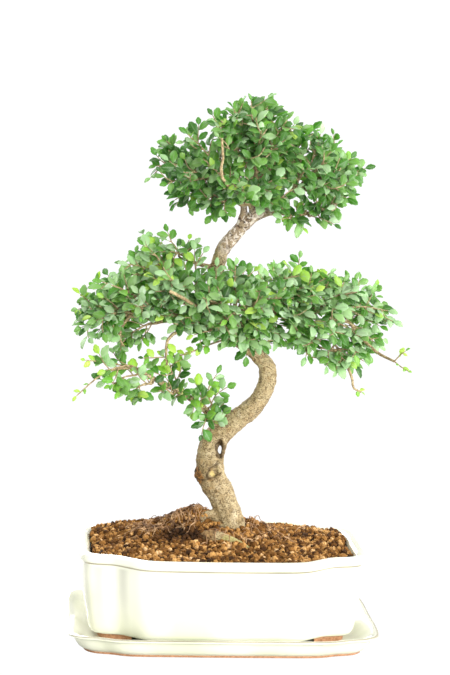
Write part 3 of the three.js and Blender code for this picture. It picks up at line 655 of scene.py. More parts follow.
# Each bough's route and radii. Then the sprays that the solids have, each with its share of the way
# along the bough and its tip, and more sprays, which close gaps that the photographed side doesn't show.
BOUGHS = {
    "crown_left": (
        [(9, 2, 306), (11, 0, 320), (2, -3, 333), (-14, -4, 341), (-28, -4, 346)], [3, 2.4, 2, 1.6, 1.3],
        [(1, -54, -6, 348), (0.86, -46, 16, 360), (0.8, -46, -22, 336), (0.62, -32, -14, 372),
         (0.7, -40, 14, 326)],
        [(0.5, -18, -28, 350), (0.6, -30, -26, 338), (0.4, -16, -22, 326)]),
    "crown_top": (
        [(18, 0, 313), (21, 2, 328), (19, 4, 346), (17, 4, 358)], [3, 2.4, 1.8, 1.3],
        [(1, 10, 4, 390), (0.88, 34, 12, 390), (0.8, -8, -12, 382), (0.7, 20, -30, 376),
         (0.6, 40, -16, 384)],
        [(0.7, 12, -36, 356), (0.6, -6, -28, 364), (0.8, 32, -32, 366), (0.5, 4, 30, 366),
         (0.9, 14, -8, 397), (0.9, 28, 0, 396), (0.8, 1, -10, 391)]),
    "crown_right": (
        [(30, 0, 317), (42, -2, 326), (56, -4, 335), (68, -4, 342)], [3, 2.4, 1.8, 1.3],
        [(1, 94, -6, 346), (0.85, 80, 8, 366), (0.75, 64, -20, 374), (0.6, 56, 22, 374),
         (0.68, 78, -26, 334)],
        [(0.5, 54, -34, 350), (0.4, 46, -28, 338), (0.7, 68, -30, 354), (0.8, 90, 4, 354)]),
    "crown_low": (
        [(33, 0, 317), (46, -1, 315), (60, -3, 316), (72, -5, 320)], [2.6, 2, 1.6, 1.2],
        [(1, 87, -8, 330), (0.75, 66, -22, 313), (0.5, 52, -10, 309)],
        [(0.3, 44, -22, 312), (0.9, 78, -24, 324), (0.6, 64, -26, 326)]),
    "crown_front": (
        [(18, 0, 313), (15, -10, 321), (10, -20, 329)], [2.4, 1.8, 1.2],
        [(1, -2, -42, 338), (0.75, 28, -38, 340), (0.6, -18, -22, 322)],
        [(0.9, 14, -44, 326), (0.5, 40, -30, 328), (0.7, -8, -34, 324)]),
    "crown_back": (
        [(25, 2, 315), (29, 14, 324), (28, 26, 332)], [2.4, 1.8, 1.2],
        [(1, 26, 48, 346), (0.75, 54, 38, 344)],
        [(0.6, 6, 36, 342), (0.5, 44, 30, 356)]),
    "left_low": (
        [(2, 6, 228), (-14, 2, 231), (-32, -2, 237), (-52, -6, 241), (-72, -8, 242)], [5, 3.6, 2.8, 2, 1.4],
        [(1, -104, -10, 236), (0.9, -100, 6, 252), (0.8, -92, -24, 264), (0.7, -80, 18, 242),
         (0.6, -68, -34, 247), (0.66, -80, -20, 216)],
        [(0.45, -30, -32, 242), (0.55, -48, -34, 252), (0.4, -34, -38, 234), (0.85, -96, -28, 236),
         (0.95, -109, -6, 242), (0.9, -106, -18, 230), (0.4, -24, 14, 244), (0.2, -14, -38, 230),
         (0.3, -24, -36, 237), (0.5, -44, -36, 241)]),
    "left_high": (
        [(-5, 7, 238), (-20, -2, 246), (-34, -6, 260), (-44, -8, 272)], [3.8, 2.6, 1.9, 1.3],
        [(1, -62, -10, 290), (0.8, -76, -6, 276), (0.62, -48, -32, 268)],
        [(0.4, -28, -30, 264), (0.5, -24, -24, 280), (0.6, -44, -30, 256), (0.9, -64, 8, 282)]),
    "left_twig": (
        [(-9, 8, 273), (-20, 4, 276), (-32, 0, 280)], [2.2, 1.6, 1.2],
        [(1, -44, -14, 294)],
        []),
    "left_back": (
        [(-4, 9, 234), (-22, 22, 243), (-42, 32, 250)], [3.4, 2.2, 1.3],
        [(1, -74, 40, 256), (0.7, -44, 50, 268)],
        [(0.8, -60, 30, 266), (0.6, -30, 44, 254)]),
    "right_low": (
        [(6, 6, 226), (22, 4, 236), (44, 0, 242), (66, -4, 244), (86, -6, 243)], [5, 3.8, 2.8, 2, 1.4],
        [(1, 118, -8, 240), (0.9, 112, 10, 254), (0.85, 110, -20, 222), (0.72, 94, -24, 260),
         (0.5, 62, -20, 264)],
        [(0.35, 38, -28, 252), (0.45, 50, -34, 240), (0.3, 30, -24, 240), (0.7, 78, -34, 248),
         (0.95, 118, -16, 246), (0.8, 100, 6, 258), (0.15, 13, -32, 226), (0.28, 25, -36, 230),
         (0.35, 38, -30, 226), (0.5, 50, -36, 232), (0.6, 66, -34, 234), (0.72, 78, -30, 227)]),
    "right_drop": (
        [(40, 0, 241), (56, -8, 230), (72, -12, 220), (84, -12, 212)], [2.6, 2, 1.6, 1.2],
        [(1, 102, -12, 208), (0.75, 86, -28, 210), (0.5, 58, -22, 212)],
        [(0.4, 62, -30, 222), (0.3, 46, -26, 230), (0.9, 96, -28, 216)]),
    "right_high": (
        [(14, 5, 231), (30, 8, 246), (44, 10, 258)], [3.2, 2.2, 1.4],
        [(1, 70, 10, 268), (0.7, 42, -14, 270)],
        [(0.5, 28, -20, 266), (0.8, 56, -20, 262), (0.9, 52, -32, 256), (1, 84, -10, 262)]),
    "right_back": (
        [(14, 7, 231), (36, 22, 242), (58, 34, 248)], [3.2, 2.2, 1.3],
        [(1, 88, 40, 252)],
        [(0.8, 66, 44, 260), (0.6, 40, 34, 260)]),
    "front": (
        [(4, 4, 228), (4, -12, 236), (-2, -26, 243)], [3.6, 2.4, 1.4],
        [(1, -20, -46, 256), (0.8, 26, -40, 252), (0.6, 4, -30, 278)],
        [(0.6, -12, -34, 266), (0.7, 16, -36, 264), (0.9, -34, -36, 250), (0.9, 38, -34, 256),
         (1, 4, -48, 246), (1, -8, -42, 232), (0.8, 22, -30, 236), (0.7, 4, -34, 224), (0.8, 16, -36, 222),
         (0.7, 24, -34, 221)]),
    "lowest": (
        [(-3, 4, 152), (-13, -5, 168), (-28, -14, 180), (-44, -22, 189), (-56, -28, 196), (-68, -32, 203)],
        [3.6, 2.8, 2.4, 2, 1.7, 1.3],
        [(1, -88, -38, 201), (0.8, -68, -34, 186), (0.6, -42, -30, 206), (0.24, -12, -14, 188),
         (0.12, -15, -18, 162)],
        [(0.34, -26, -24, 180), (0.95, -84, -36, 190), (0.82, -70, -36, 183), (0.6, -50, -32, 186),
         (0.5, -38, -28, 181), (0.12, -15, -19, 164), (0.2, -20, -20, 178)]),
}
# Single twigs: route, radii, share of the length without leaves, share of young leaves, leaf size
SINGLE_TWIGS = {
    "crown_front": [
        ([(14, -6, 322), (4, -26, 330), (-5, -43, 338), (-10, -45, 346), (-8, -45, 352), (-9, -42, 370)],
         [1.5, 1.3, 1.2, 0.9], 1, 0, 1),
    ],
    "left_low": [
        ([(-8, 0, 234), (-20, -26, 246), (-28, -37, 251), (-36, -42, 256), (-44, -44, 260)],
         [1.6, 1.4, 1.3, 1.2], 1, 0, 1),
        ([(-14, 0, 231), (-22, -20, 233), (-43, -30, 225), (-45, -33, 214), (-44, -34, 205)],
         [1.7, 1.4, 1.2, 0.8], 0.7, 0.6, 0.8),
        ([(2, -2, 222), (-18, -26, 218), (-30, -29, 213), (-42, -30, 211), (-61, -34, 210)],
         [0.8, 0.6, 0.5, 0.4], 0.3, 0.9, 0.75),
        ([(-70, -10, 240), (-77, -16, 230), (-78, -20, 222), (-75, -20, 216)],
         [1.2, 1, 0.8], 0.8, 0.5, 0.7),
    ],
    "right_drop": [
        ([(84, -12, 212), (90, -18, 203), (93, -20, 195), (94, -20, 189), (100, -20, 186)],
         [1.2, 1.0, 0.7], 0.9, 1, 0.6),
    ],
    "right_low": [
        ([(86, -6, 243), (99, -20, 226), (109, -32, 217), (119, -52, 213)], [1.3, 1.2, 0.9], 1, 0, 1),
        ([(119, -52, 213), (122, -58, 218), (125, -64, 222)], [0.5, 0.4, 0.3], 0.3, 1, 0.55),
        ([(119, -52, 213), (123, -60, 210), (127, -68, 208)], [0.5, 0.4, 0.3], 0.3, 1, 0.55),
    ],
    "lowest": [
        ([(-68, -32, 203), (-84, -35, 201), (-94, -38, 196), (-109, -42, 183)],
         [1.2, 0.8, 0.6, 0.4], 0.75, 1, 0.6),
        ([(-66, -31, 202), (-88, -30, 206), (-103, -36, 208)], [0.8, 0.6, 0.4], 0.6, 0.9, 0.6),
    ],
}
WOOD_GRID = 0.7
# The old cut at the left, the callus round a pruned stub and the gap between the two strands
KNOB = {"place": (-14.6, 5.5, 119), "half": (5.2, 5.6, 7), "uneven": 0.3, "lumps": 2.4}
CALLUS = {"place": (-6, -3.0, 122), "ring": 4.2, "thick": 1.7, "turn": (78, 0, -12)}
RECESS = {"place": (-2.4, -2.6, 139), "half": (3.4, 6.2, 8.4), "uneven": 0.34, "lumps": 1.6}
SLOT = {"place": (-1.5, 5, 138), "half": (1.5, 3.6), "turn": (81, 0, -4)}
# Swellings, flakes and pits: texture, size of its lumps, height, middle level and where it works
BARK_RELIEF = [("CLOUDS", 12, 1.8, 0.5, "thick_wood"), ("VORONOI", 3.4, 0.9, 0.4, "thick_wood"),
               ("CLOUDS", 1.8, 0.55, 0.5, "")]
# Relief is full within a reach of the trunk's line and fades beyond it, and it fades high up
THICK_STEPS, THICK_REACH, THICK_FADE = 5, 14.5, 4
HIGH, HIGH_FADE, HIGH_LEAST = 330, 60, 0.15
# Old cracks in the bark above and below the pruned stub, as x and z of the lines
SCARS = [
    [(-14.5, 115), (-10, 116.6), (-5, 119.4), (-0.5, 121.8)], [(-10.5, 124.2), (-6.5, 126.4), (-2.4, 128.4)],
    [(-11.5, 117.4), (-11, 121), (-9.4, 124)], [(-3.5, 130), (-5.4, 126.6)],
]
SCAR_DEPTH, SCAR_WIDTH = 1.0, 0.75


def start_tubes(name, sides):
    """A curve object whose splines become round limbs, a millimetre of radius for each unit."""
    curve = bpy.data.curves.new(name, "CURVE")
    curve.dimensions = "3D"
    curve.bevel_depth = MM
    curve.bevel_resolution = sides
    curve.use_fill_caps = True
    return curve


def add_tube(curve, points, radii):
    """A limb along evenly spaced points in mm, its radius eased through its stations."""
    spline = curve.splines.new("POLY")
    spline.points.add(len(points) - 1)
    spline.points.foreach_set("co", np.column_stack([points * MM, np.ones(len(points))]).ravel())
    stations = np.linspace(0, 1, len(radii))
    spline.points.foreach_set("radius", np.interp(np.linspace(0, 1, len(points)), stations, radii))


def tubes_to_mesh(curve):
    """The curve's limbs as one mesh object."""
    limbs = bpy.data.objects.new(curve.name, curve)
    bpy.context.scene.collection.objects.link(limbs)
    select_only(limbs)
    bpy.ops.object.convert(target="MESH")
    return bpy.context.active_object


def lumpy_ball(place, half, uneven, lumps):
    """A ball with soft lumps, its place and half sizes in mm."""
    ball = shape("ico_sphere", subdivisions=4, radius=MM)
    for vertex in ball.data.vertices:
        swell = 1 + uneven * noise_at(vertex.co * lumps / MM)
        vertex.co = [vertex.co[k] * swell * half[k] + place[k] * MM for k in range(3)]
    return ball


def placed_as(feature):
    """Place and rotation of a feature, as an operator takes them."""
    return {"location": [c * MM for c in feature["place"]],
            "rotation": [math.radians(angle) for angle in feature["turn"]]}


wood_curve = start_tubes("trunk_with_bark", 4)
trunk_line = follow(TRUNK_ROUTE, 120)
add_tube(wood_curve, trunk_line, TRUNK_RADII)
for route, radii in ROOTS:
    add_tube(wood_curve, follow(route, 24), radii)
bough_lines = {}
for name, (route, radii, _, _) in BOUGHS.items():
    bough_lines[name] = follow(route, 28)
    add_tube(wood_curve, bough_lines[name], radii)
wood = tubes_to_mesh(wood_curve)
knob = lumpy_ball(**KNOB)
callus = shape(
    "torus", major_radius=CALLUS["ring"] * MM, minor_radius=CALLUS["thick"] * MM, major_segments=32,
    minor_segments=12, **placed_as(CALLUS))
bpy.ops.object.transform_apply(location=True, rotation=True, scale=True)
join("trunk_with_bark", wood, knob, callus)
apply_modifier(wood, "REMESH", mode="VOXEL", voxel_size=WOOD_GRID * MM, adaptivity=0)
combine(wood, "DIFFERENCE", lumpy_ball(**RECESS))
slot = shape("cylinder", vertices=24, radius=MM, depth=60 * MM, **placed_as(SLOT))
slot.scale = (*SLOT["half"], 1)
combine(wood, "DIFFERENCE", slot)
apply_modifier(wood, "REMESH", mode="VOXEL", voxel_size=WOOD_GRID * MM, adaptivity=0)
apply_modifier(wood, "SMOOTH", factor=0.5, iterations=2)

near_trunk = wood.vertex_groups.new(name="thick_wood")
places = np.array([v.co for v in wood.data.vertices]) / MM
gaps = np.min(np.linalg.norm(places[:, None, :] - trunk_line[None, ::4, :], axis=2), axis=1)
thick = np.clip((THICK_REACH - gaps) / THICK_FADE, 0, 1)
thick *= np.clip((HIGH - places[:, 2]) / HIGH_FADE, HIGH_LEAST, 1)
for level in range(1, THICK_STEPS + 1):
    members = np.flatnonzero(np.ceil(thick * THICK_STEPS) == level)
    near_trunk.add(members.tolist(), level / THICK_STEPS, "REPLACE")
for kind, size, high, middle, group in BARK_RELIEF:
    texture = bpy.data.textures.new("bark_relief", kind)
    texture.noise_scale = size * MM
    apply_modifier(wood, "DISPLACE", texture=texture, strength=high * MM, mid_level=middle,
                   vertex_group=group, texture_coords="LOCAL")

# The cracks are grooves in the mesh, noted for the colour
surface = np.array([v.co for v in wood.data.vertices]) / MM
facing_front = np.array([v.normal.y for v in wood.data.vertices]) < -0.2
groove = np.zeros(len(surface))
for scar in SCARS:
    for spot in follow(scar, 18):
        off = np.hypot(surface[:, 0] - spot[0], surface[:, 2] - spot[1])
        groove = np.maximum(groove, np.exp(-(off / SCAR_WIDTH) ** 2))
groove *= facing_front
for k in np.flatnonzero(groove > 0.02):
    wood.data.vertices[int(k)].co.y += groove[k] * SCAR_DEPTH * MM
wood.data.attributes.new("groove", "FLOAT", "POINT").data.foreach_set("value", groove.astype(np.float32))


def near_spot(place, centre, half, soft):
    """How near a point is to a spot on the wood: 1 inside the given half sizes in mm, 0 beyond them."""
    shifted = calc_points("SUBTRACT", place, [c * MM for c in centre])
    scaled = calc_points("DIVIDE", shifted, [h * MM for h in half])
    return mapped(calc_points("LENGTH", scaled), 1 - soft, 1.0, 1.0, 0.0, "SMOOTHSTEP")


# Bark: dull and chalky, mottled tan and grey in patches of 5 to 9 mm, with painted shade in olive and ochre
# on the left side, away from the key light
bark, place = new_material("elm_bark")
banded = add_node(bark, "Mapping", None, {"Vector": place, "Scale": (1, 1, 1.9)}).outputs[0]
pushed = calc_points("MULTIPLY_ADD", noise(place, 5, 3).node.outputs["Color"], [6 * MM] * 3, place)
uneven = calc_points("SUBTRACT", pushed, [3 * MM] * 3)
colour = picked(noise(place, 9, 4, 0.6), [
    (0.3, "#8e7a56"), (0.45, "#aa9670"), (0.58, "#b8a782"), (0.72, "#a8946e")])
# Painted shade: faces turned to the left, away from the key light, are tinted olive, with ochre patches
facing = add_node(bark, "SeparateXYZ", None, {0: place.node.outputs["Normal"]}).outputs["X"]
painted_side_shade = mapped(facing, 0.4, -0.85, 0.0, 0.45)
colour = tinted(colour, "#94804e", painted_side_shade)
ochre = mapped(noise(uneven, 6, 3, 0.6), 0.56, 0.64)
colour = tinted(colour, "#b5803f", calc("MULTIPLY", ochre, painted_side_shade), 1.2)
colour = tinted(colour, "#dccfae", mapped(noise(uneven, 7, 4, 0.6), 0.55, 0.66), 0.4)
# Pits and flakes: dark specks a millimetre long, more of them in some patches
fine = noise(banded, 1.2, 3, 0.65)
patchy = calc("MULTIPLY_ADD", noise(place, 5, 2, 0.6), 0.3, fine)
edges = add_node(bark, "TexVoronoi", {"feature": "DISTANCE_TO_EDGE"}, {
    "Vector": banded, "Scale": 1 / (3.4 * MM)}).outputs["Distance"]
cracks = calc("MULTIPLY", mapped(edges, 0.09, 0.0), mapped(fine, 0.44, 0.6))
pitted = calc("MAXIMUM", mapped(patchy, 0.665, 0.725), cracks)
colour = tinted(colour, "#54412a", pitted, 0.8)
# High up the bark is greyer, and it flakes off in pale and dark patches
high_up = near_spot(place, (14, 3, 306), (30, 16, 38), 0.5)
flaked = mapped(noise(uneven, 3.4, 3, 0.6), 0.49, 0.56)
darker = mapped(noise(pushed, 3, 3, 0.6), 0.53, 0.6)
colour = tinted(colour, "#9c8878", high_up, 0.55)
colour = tinted(colour, "#e8dccf", calc("MULTIPLY", high_up, flaked), 0.85)
colour = tinted(colour, "#453327", calc("MULTIPLY", high_up, darker), 0.85)
# Marks with their own tint, but the hollow's dark tint is painted shade: place, half sizes, softness of the
# edge, strength and colour
knob_tint = picked(noise(place, 2.4, 4, 0.6), [
    (0.4, "#2e1e10"), (0.5, "#603e1c"), (0.62, "#a8702e")])
lump_tint = picked(noise(place, 2.6, 4, 0.6), [
    (0.4, "#4e3622"), (0.5, "#8a6a42"), (0.62, "#ab8c5c")])
in_grooves = mapped(fine, 0.1, 0.4)
MARKS = {
    "cut_end": (uneven, (-7.6, -5, 121.2), (2.8, 6, 2.8), 0.3, 0.75, "#d8c07a"),
    # Painted shade: the recess is darkened inside
    "shaded_hollow": (uneven, (-2, 0, 139), (5, 9, 10.5), 0.4, 0.7, "#4a3722"),
    "knob": (uneven, (-18, 5, 118), (7.5, 10, 9), 0.4, 0.85, knob_tint),
    "soil_on_old_roots": (uneven, (-40, 13, 76), (28, 9, 18), 0.25, in_grooves, "#4a3320"),
    "root_start": (uneven, (-8, -5, 78), (13, 10, 6.5), 0.3, 0.85, "#4c3224"),
    "root_lump": (uneven, (-10, -18, 77), (10, 8, 8), 0.3, 0.9, lump_tint),
    "mossy_front_root": (place, (13, -25, 73), (19, 7, 9), 0.3, 0.65, "#a49c5e"),
    "fresh_cut": (uneven, (-9, -16, 81), (3, 3, 2.4), 0.3, 0.85, "#c4603c"),
    "soil_at_foot": (place, (5, 4, 66), (40, 40, 15), 0.5, mapped(fine, 0.35, 0.7), "#8a6a45"),
}
for coordinate, centre, half, soft, amount, tint in MARKS.values():
    colour = tinted(colour, tint, near_spot(coordinate, centre, half, soft), amount)
colour = tinted(colour, "#3f2d1a", noted(bark, "groove"), 0.85)
finish(skin(colour, 0.88, (calc("SUBTRACT", fine, pitted), 0.7, 0.6), {"Specular IOR Level": 0.25}))
wear(wood, bark)
shade_by_angle(wood, 70)
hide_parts("trunk")
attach(wood, "root")

# Rootlets: dry brown fibres that run over the old roots and stick out of the soil.
# They are thin tubes, each of which wanders and follows what lies below it.
FIBRES = [
    {"count": 110, "x": (-58, -12), "y": (0, 22), "length": (8, 22), "lift": (0.4, 2)},
    {"count": 26, "x": (-16, 30), "y": (-26, 0), "length": (6, 16), "lift": (0.3, 1.2)},
    {"count": 44, "x": (14, 38), "y": (4, 26), "length": (7, 18), "lift": (0.5, 3)},
    {"count": 12, "x": (24, 60), "y": (-4, 30), "length": (10, 22), "lift": (1, 5)},
]
FIBRE_STEPS, FIBRE_SHORTEST = 7, 4
FIBRE_RADII = (0.2, 0.45)
# A fibre ends where it would climb the trunk: above this height, left of x and elsewhere
CLIMB_X, CLIMB_LEFT, CLIMB_ELSEWHERE = -9, 95, 82

under = [soil_tree] + [surface_of(piece) for piece in (grains, heaped, old_earth, wood)]
fibre_draw = random.Random(5)
fibre_curve = start_tubes("rootlets", 1)
for patch in FIBRES:
    for _ in range(patch["count"]):
        x, y = fibre_draw.uniform(*patch["x"]), fibre_draw.uniform(*patch["y"])
        heading = fibre_draw.uniform(0, 2 * math.pi)
        step = fibre_draw.uniform(*patch["length"]) / FIBRE_STEPS
        lift = fibre_draw.uniform(*patch["lift"])
        route = []
        for k in range(FIBRE_STEPS + 1):
            below = [plumb(tree, x, y, 0.1) for tree in under]
            ground = max([hit.z for hit in below if hit is not None], default=0) / MM
            if ground > (CLIMB_LEFT if x < CLIMB_X else CLIMB_ELSEWHERE):
                break
            arch = math.sin(math.pi * k / FIBRE_STEPS) * lift
            route.append((x, y, ground + 0.6 + arch - (1.2 if k == 0 else 0)))
            heading += fibre_draw.uniform(-0.5, 0.5)
            x, y = x + step * math.cos(heading), y + step * math.sin(heading)
        if len(route) < FIBRE_SHORTEST:
            continue
        radius = fibre_draw.uniform(*FIBRE_RADII)
        add_tube(fibre_curve, follow(route, 2 * len(route)), [radius, radius, 0.5 * radius])
rootlets = tubes_to_mesh(fibre_curve)

# Dry root: dull, and streaked from dark brown to straw along its length
fibre_brown, place = new_material("dry_root_fibre")
finish(skin(picked(noise(place, 6, 3), [(0.35, "#5a3e28"), (0.5, "#8c6844"), (0.66, "#c09c72")]), 0.85))
wear(rootlets, fibre_brown)
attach(rootlets, "root")

# Leaf: an oval elm blade with a blunt saw edge, folded a little along its midrib.
# It is modelled once and copied, stiff and leathery, waxy above and paler below.
LEAF_CELLS = (8, 2)
# Shares of the leaf's length
LEAF_WIDTH, LEAF_STALK, LEAF_STALK_HALF, LEAF_THICK = 0.6, 0.08, 0.03, 0.022
LEAF_FOLD, LEAF_DROOP, LEAF_TOOTH = 0.34, 0.13, 0.11
LEAF_TOOTH_FORWARD, LEAF_BLUNT, LEAF_FULL = 0.03, 0.94, 0.8
VEIN_PAIRS, VEIN_SWEEP = 8, 0.55


def leaf_half_width(along):
    """The blade's half width at a share of the leaf's length."""
    t = (along - LEAF_STALK) / (1 - LEAF_STALK)
    return LEAF_WIDTH / 2 * math.sin(math.pi * t ** LEAF_BLUNT) ** LEAF_FULL if t < 1 else 0


leaf = shape("grid", x_subdivisions=LEAF_CELLS[0], y_subdivisions=LEAF_CELLS[1], size=1)
for vertex in leaf.data.vertices:
    along, across = vertex.co.x + 0.5, vertex.co.y * 2
    column = round(along * LEAF_CELLS[0])
    if column:
        along = LEAF_STALK + (1 - LEAF_STALK) * (column - 1) / (LEAF_CELLS[0] - 1)
    half = leaf_half_width(along) if column > 1 else LEAF_STALK_HALF
    # Every other cell's edge stands out as a tooth
    edge = abs(across) > 0.9 and 1 < column < LEAF_CELLS[0]
    push = LEAF_TOOTH * (1 if column % 2 else -0.2) if edge else 0
    vertex.co = (
        along + (LEAF_TOOTH_FORWARD if edge and column % 2 else 0),
        across * half * (1 + push),
        LEAF_FOLD * abs(across) * half - LEAF_DROOP * along * along,
    )
with editing():
    bpy.ops.mesh.remove_doubles(threshold=0.001)
apply_modifier(leaf, "SOLIDIFY", thickness=LEAF_THICK, offset=0)

# Leaf: a soft wax gloss over each leaf's green, whose pale grey tones are painted sheen, quilted by paler
# veins, and light glows through it
leaf_green, _ = new_material("waxy_elm_leaf")
own = noted(leaf_green, "tone")
blade = add_node(leaf_green, "SeparateXYZ", None, {0: add_node(leaf_green, "UVMap").outputs["UV"]}).outputs
from_rib = calc("ABSOLUTE", calc("SUBTRACT", blade["Y"], 0.5))
swept = calc("MULTIPLY_ADD", from_rib, -VEIN_SWEEP, blade["X"])
ridges = calc("SINE", calc("MULTIPLY", swept, 2 * math.pi * VEIN_PAIRS))
ribs = calc("MAXIMUM", mapped(ridges, 0.2, 1.0, 0.0, 0.28),
            mapped(from_rib, 0.02, 0.07, 0.55, 0.0))
lines = calc("MAXIMUM", ribs, mapped(from_rib, 0.38, 0.49, 0.0, 0.35))
# Tones from 0.45 to 0.74 turn pale grey green: painted sheen
green = picked(own, [
    (0.0, "#286004"), (0.25, "#448616"), (0.45, "#74a83e"), (0.6, "#a4c884"), (0.72, "#d0e4c6"),
    (0.78, "#7cbe36"), (0.88, "#a8d250"), (1.0, "#cce66a")])
wax = skin(tinted(green, "#a6c48e", lines), 0.4, (ribs, 0.6, 0.2), {"Specular IOR Level": 0.75})
glow = add_node(leaf_green, "BsdfTranslucent", None, {"Color": picked(own, [
    (0.0, "#549c14"), (0.45, "#80be30"), (0.72, "#a2d058"), (0.78, "#7ac818"), (1.0, "#d8ee5c")])})
finish(add_node(leaf_green, "MixShader", None, {0: 0.5, 1: wax, 2: glow.outputs[0]}).outputs[0])

# Twig: young bark, smoother and paler than the trunk's, ringed in brown every few millimetres
twig_bark, place = new_material("young_elm_bark")
rings = noise(place, 1.6, 3)
finish(skin(picked(rings, [(0.32, "#6a5a3c"), (0.5, "#94805a"), (0.7, "#bcac84")]), 0.75, (rings, 0.4, 0.2)))

# Sprays: thin zigzag twigs that leave a bough, fork left and right and carry leaves in two rows.
# Each bough's twigs and leaves are one piece, which stands for that bough's spray solids.
CROWN_CENTRE, TIER_CENTRE, CROWN_FROM = np.array([20.0, 0.0, 340.0]), np.array([0.0, 0.0, 225.0]), 300
SIDE_TWIG_LENGTH, LEAF_LENGTH, LEAF_PROPORTION = (11, 20), (7.4, 12.2), (0.74, 1.06)
LEAF_STEP, BRANCH_STEP, TWIG_SUNK = 3.9, 4.6, 0.8
STEM_RADII, SIDE_TWIG_RADII = [0.95, 0.75, 0.55, 0.35], [0.5, 0.4, 0.3]
SPARE_SHARE, SPARE_SPREAD, SPARE_EARLIER = (0.55, 0.9), (11, 11, 9), (0.04, 0.14)
# Shares of a spray's stem: where its leaves and its side twigs start, and how much of it bears twigs
STEM_BARE, SIDE_TWIG_BARE, BRANCHES_FROM, BRANCHES_OVER, BRANCHING = 0.62, 0.2, 0.26, 0.62, 0.72
ZIGZAG, ARCH = [(-0.5, 0.5)] * 3, 0.08
# How many leaves are young and yellow green, and how much painted grey sheen and lightness the others get:
# the side tiers are painted lighter than the crown, which shades them
YOUNG_AND_SHEEN = {"crown": (0.02, 0.34), "left": (0.07, 0.54), "right": (0.05, 0.57), "front": (0.05, 0.54),
                   "lowest": (0.24, 0.5)}
SHEEN_SPREAD, YOUNG_FROM, OLD_TO = 0.25, 0.78, 0.74
draw = random.Random(11)


def unit(v):
    """A vector of length one."""
    return v / (np.linalg.norm(v) + 1e-12)


def drift(x, y, z):
    """A random vector, each part within its own range."""
    return np.array([draw.uniform(*x), draw.uniform(*y), draw.uniform(*z)])


def point_along(line, share):
    """The point at a share of a line's length, and the direction there."""
    place = share * (len(line) - 1)
    low = min(int(place), len(line) - 2)
    step = line[low + 1] - line[low]
    return line[low] + step * (place - low), unit(step)


def light_side(point):
    """Where a leaf's upper face looks: up, out from the tier's middle and to the nearer of front and back."""
    away = unit(point - (CROWN_CENTRE if point[2] > CROWN_FROM else TIER_CENTRE))
    outer = np.array([0.0, -1.0 if point[1] < 6 else 1.0, 0.0])
    wobble = drift((-0.45, 0.45), (-0.45, 0.45), (-0.3, 0.3))
    return unit(np.array([0, 0, 0.6]) + 0.4 * away + 0.7 * outer + wobble)


def add_leaf(leaves, spot, direction, up, length, tone):
    """Notes one leaf: its own axes scaled to its length, its stalk's end and its tone."""
    forward = unit(direction)
    side = unit(np.cross(up, forward))
    width = draw.uniform(*LEAF_PROPORTION)
    leaves.append((np.column_stack([forward, side * width, np.cross(forward, side)]) * length, spot, tone))


def leaf_tone(young, painted_sheen):
    """Mostly mid to dark green, the lighter ones with painted grey sheen, and a few yellow-green ones."""
    if draw.random() < young:
        return draw.uniform(YOUNG_FROM, 1.0)
    return min(max(draw.gauss(painted_sheen, SHEEN_SPREAD), 0), OLD_TO)


def leafy_twig(curve, leaves, line, radii, first, young, painted_sheen, leaf_size=1):
    """A twig with leaves in two rows from a share of its length to its tip."""
    add_tube(curve, line, radii)
    if first >= 1:
        return
    length = np.sum(np.linalg.norm(np.diff(line, axis=0), axis=1))
    count = max(2, round(length * (1 - first) / LEAF_STEP))
    for i in range(count + 1):
        spot, forward = point_along(line, first + (1 - first) * i / count)
        up = light_side(spot)
        side = unit(np.cross(up, forward)) * (1 if i % 2 else -1)
        share = 0.15 if i == count else draw.uniform(0.8, 1.5)
        direction = forward + share * side + draw.uniform(-0.25, 0.3) * up
        size = draw.uniform(*LEAF_LENGTH) * leaf_size * (0.72 if i == count else 1)
        tone = leaf_tone(young, painted_sheen)
        add_leaf(leaves, spot, direction, up - 0.3 * forward, size, tone)


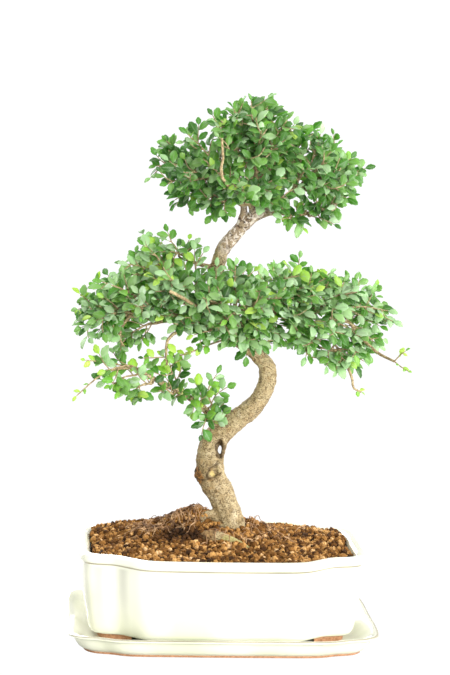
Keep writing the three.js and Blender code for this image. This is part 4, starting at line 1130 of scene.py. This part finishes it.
def grow_spray(curve, leaves, start, out, tip, young, painted_sheen):
    """A spray from its place on the bough to its tip, with side twigs left and right in turn."""
    reach = np.linalg.norm(tip - start)
    middle = (start + tip) / 2 + [0, 0, ARCH * reach]
    line = follow([start - out * TWIG_SUNK, start + out * 3, middle, tip], 10)
    for k in range(2, 9):
        line[k] += drift(*ZIGZAG)
    leafy_twig(curve, leaves, line, STEM_RADII, STEM_BARE, young, painted_sheen)
    count = int(reach * BRANCHING / BRANCH_STEP)
    for i in range(count):
        along = BRANCHES_FROM + BRANCHES_OVER * i / max(count - 1, 1)
        spot, forward = point_along(line, along)
        up = light_side(spot)
        side = unit(np.cross(up, forward)) * (1 if i % 2 else -1)
        heading = unit(0.62 * forward + 0.85 * side + draw.uniform(-0.35, 0.5) * up)
        length = draw.uniform(*SIDE_TWIG_LENGTH) * (1.1 - 0.45 * along)
        bend = drift((-0.25, 0.25), (-0.25, 0.25), (-0.2, 0.3))
        end = spot + unit(heading + bend) * length
        side_line = follow([spot, spot + heading * length * 0.5, end], 6)
        leafy_twig(curve, leaves, side_line, SIDE_TWIG_RADII, SIDE_TWIG_BARE, young, painted_sheen)


def spray_start(name, along, tip):
    """Where on the bark a spray starts, and which way it leaves the bough."""
    centre, tangent = point_along(bough_lines[name], along)
    if along >= 1:
        return centre, tangent
    radii = BOUGHS[name][1]
    reach = tip - centre
    out = unit(reach - tangent * np.dot(reach, tangent))
    return centre + out * np.interp(along, np.linspace(0, 1, len(radii)), radii), out


for name, (_, _, sprays, more_sprays) in BOUGHS.items():
    curve, leaves = start_tubes(f"twigs_{name}", 1), []
    young, painted_sheen = YOUNG_AND_SHEEN[name.split("_")[0]]
    tips = [(along, np.array(tip, float)) for along, *tip in sprays + more_sprays]
    # Spare sprays near the solids' own fill the tiers, but the lowest bough stays sparse
    spare = []
    for along, tip in tips[:len(sprays)] if name != "lowest" else []:
        share = draw.uniform(*SPARE_SHARE)
        start = spray_start(name, along, tip)[0]
        shift = drift(*((-reach, reach) for reach in SPARE_SPREAD))
        earlier = max(along - draw.uniform(*SPARE_EARLIER), 0.1)
        spare.append((earlier, start + share * (tip - start) + shift))
    for along, tip in tips + spare:
        start, out = spray_start(name, along, tip)
        grow_spray(curve, leaves, start, out, tip, young, painted_sheen)
    for route, radii, first, share, leaf_size in SINGLE_TWIGS.get(name, []):
        leafy_twig(curve, leaves, follow(route, 12), radii, first, share, painted_sheen, leaf_size)
    twigs = tubes_to_mesh(curve)
    wear(twigs, twig_bark)
    turns, spots, tones = (np.array(column) for column in zip(*leaves))
    blades = copies_of(f"blades_{name}", leaf, turns * MM, spots * MM, tones, True)
    blades.data.materials.append(leaf_green)
    foliage = join(f"foliage_{name}", blades, twigs)
    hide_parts(*[f"spray_{name}_{i + 1}" for i in range(len(sprays))])
    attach(foliage, "root")
bpy.data.objects.remove(leaf)
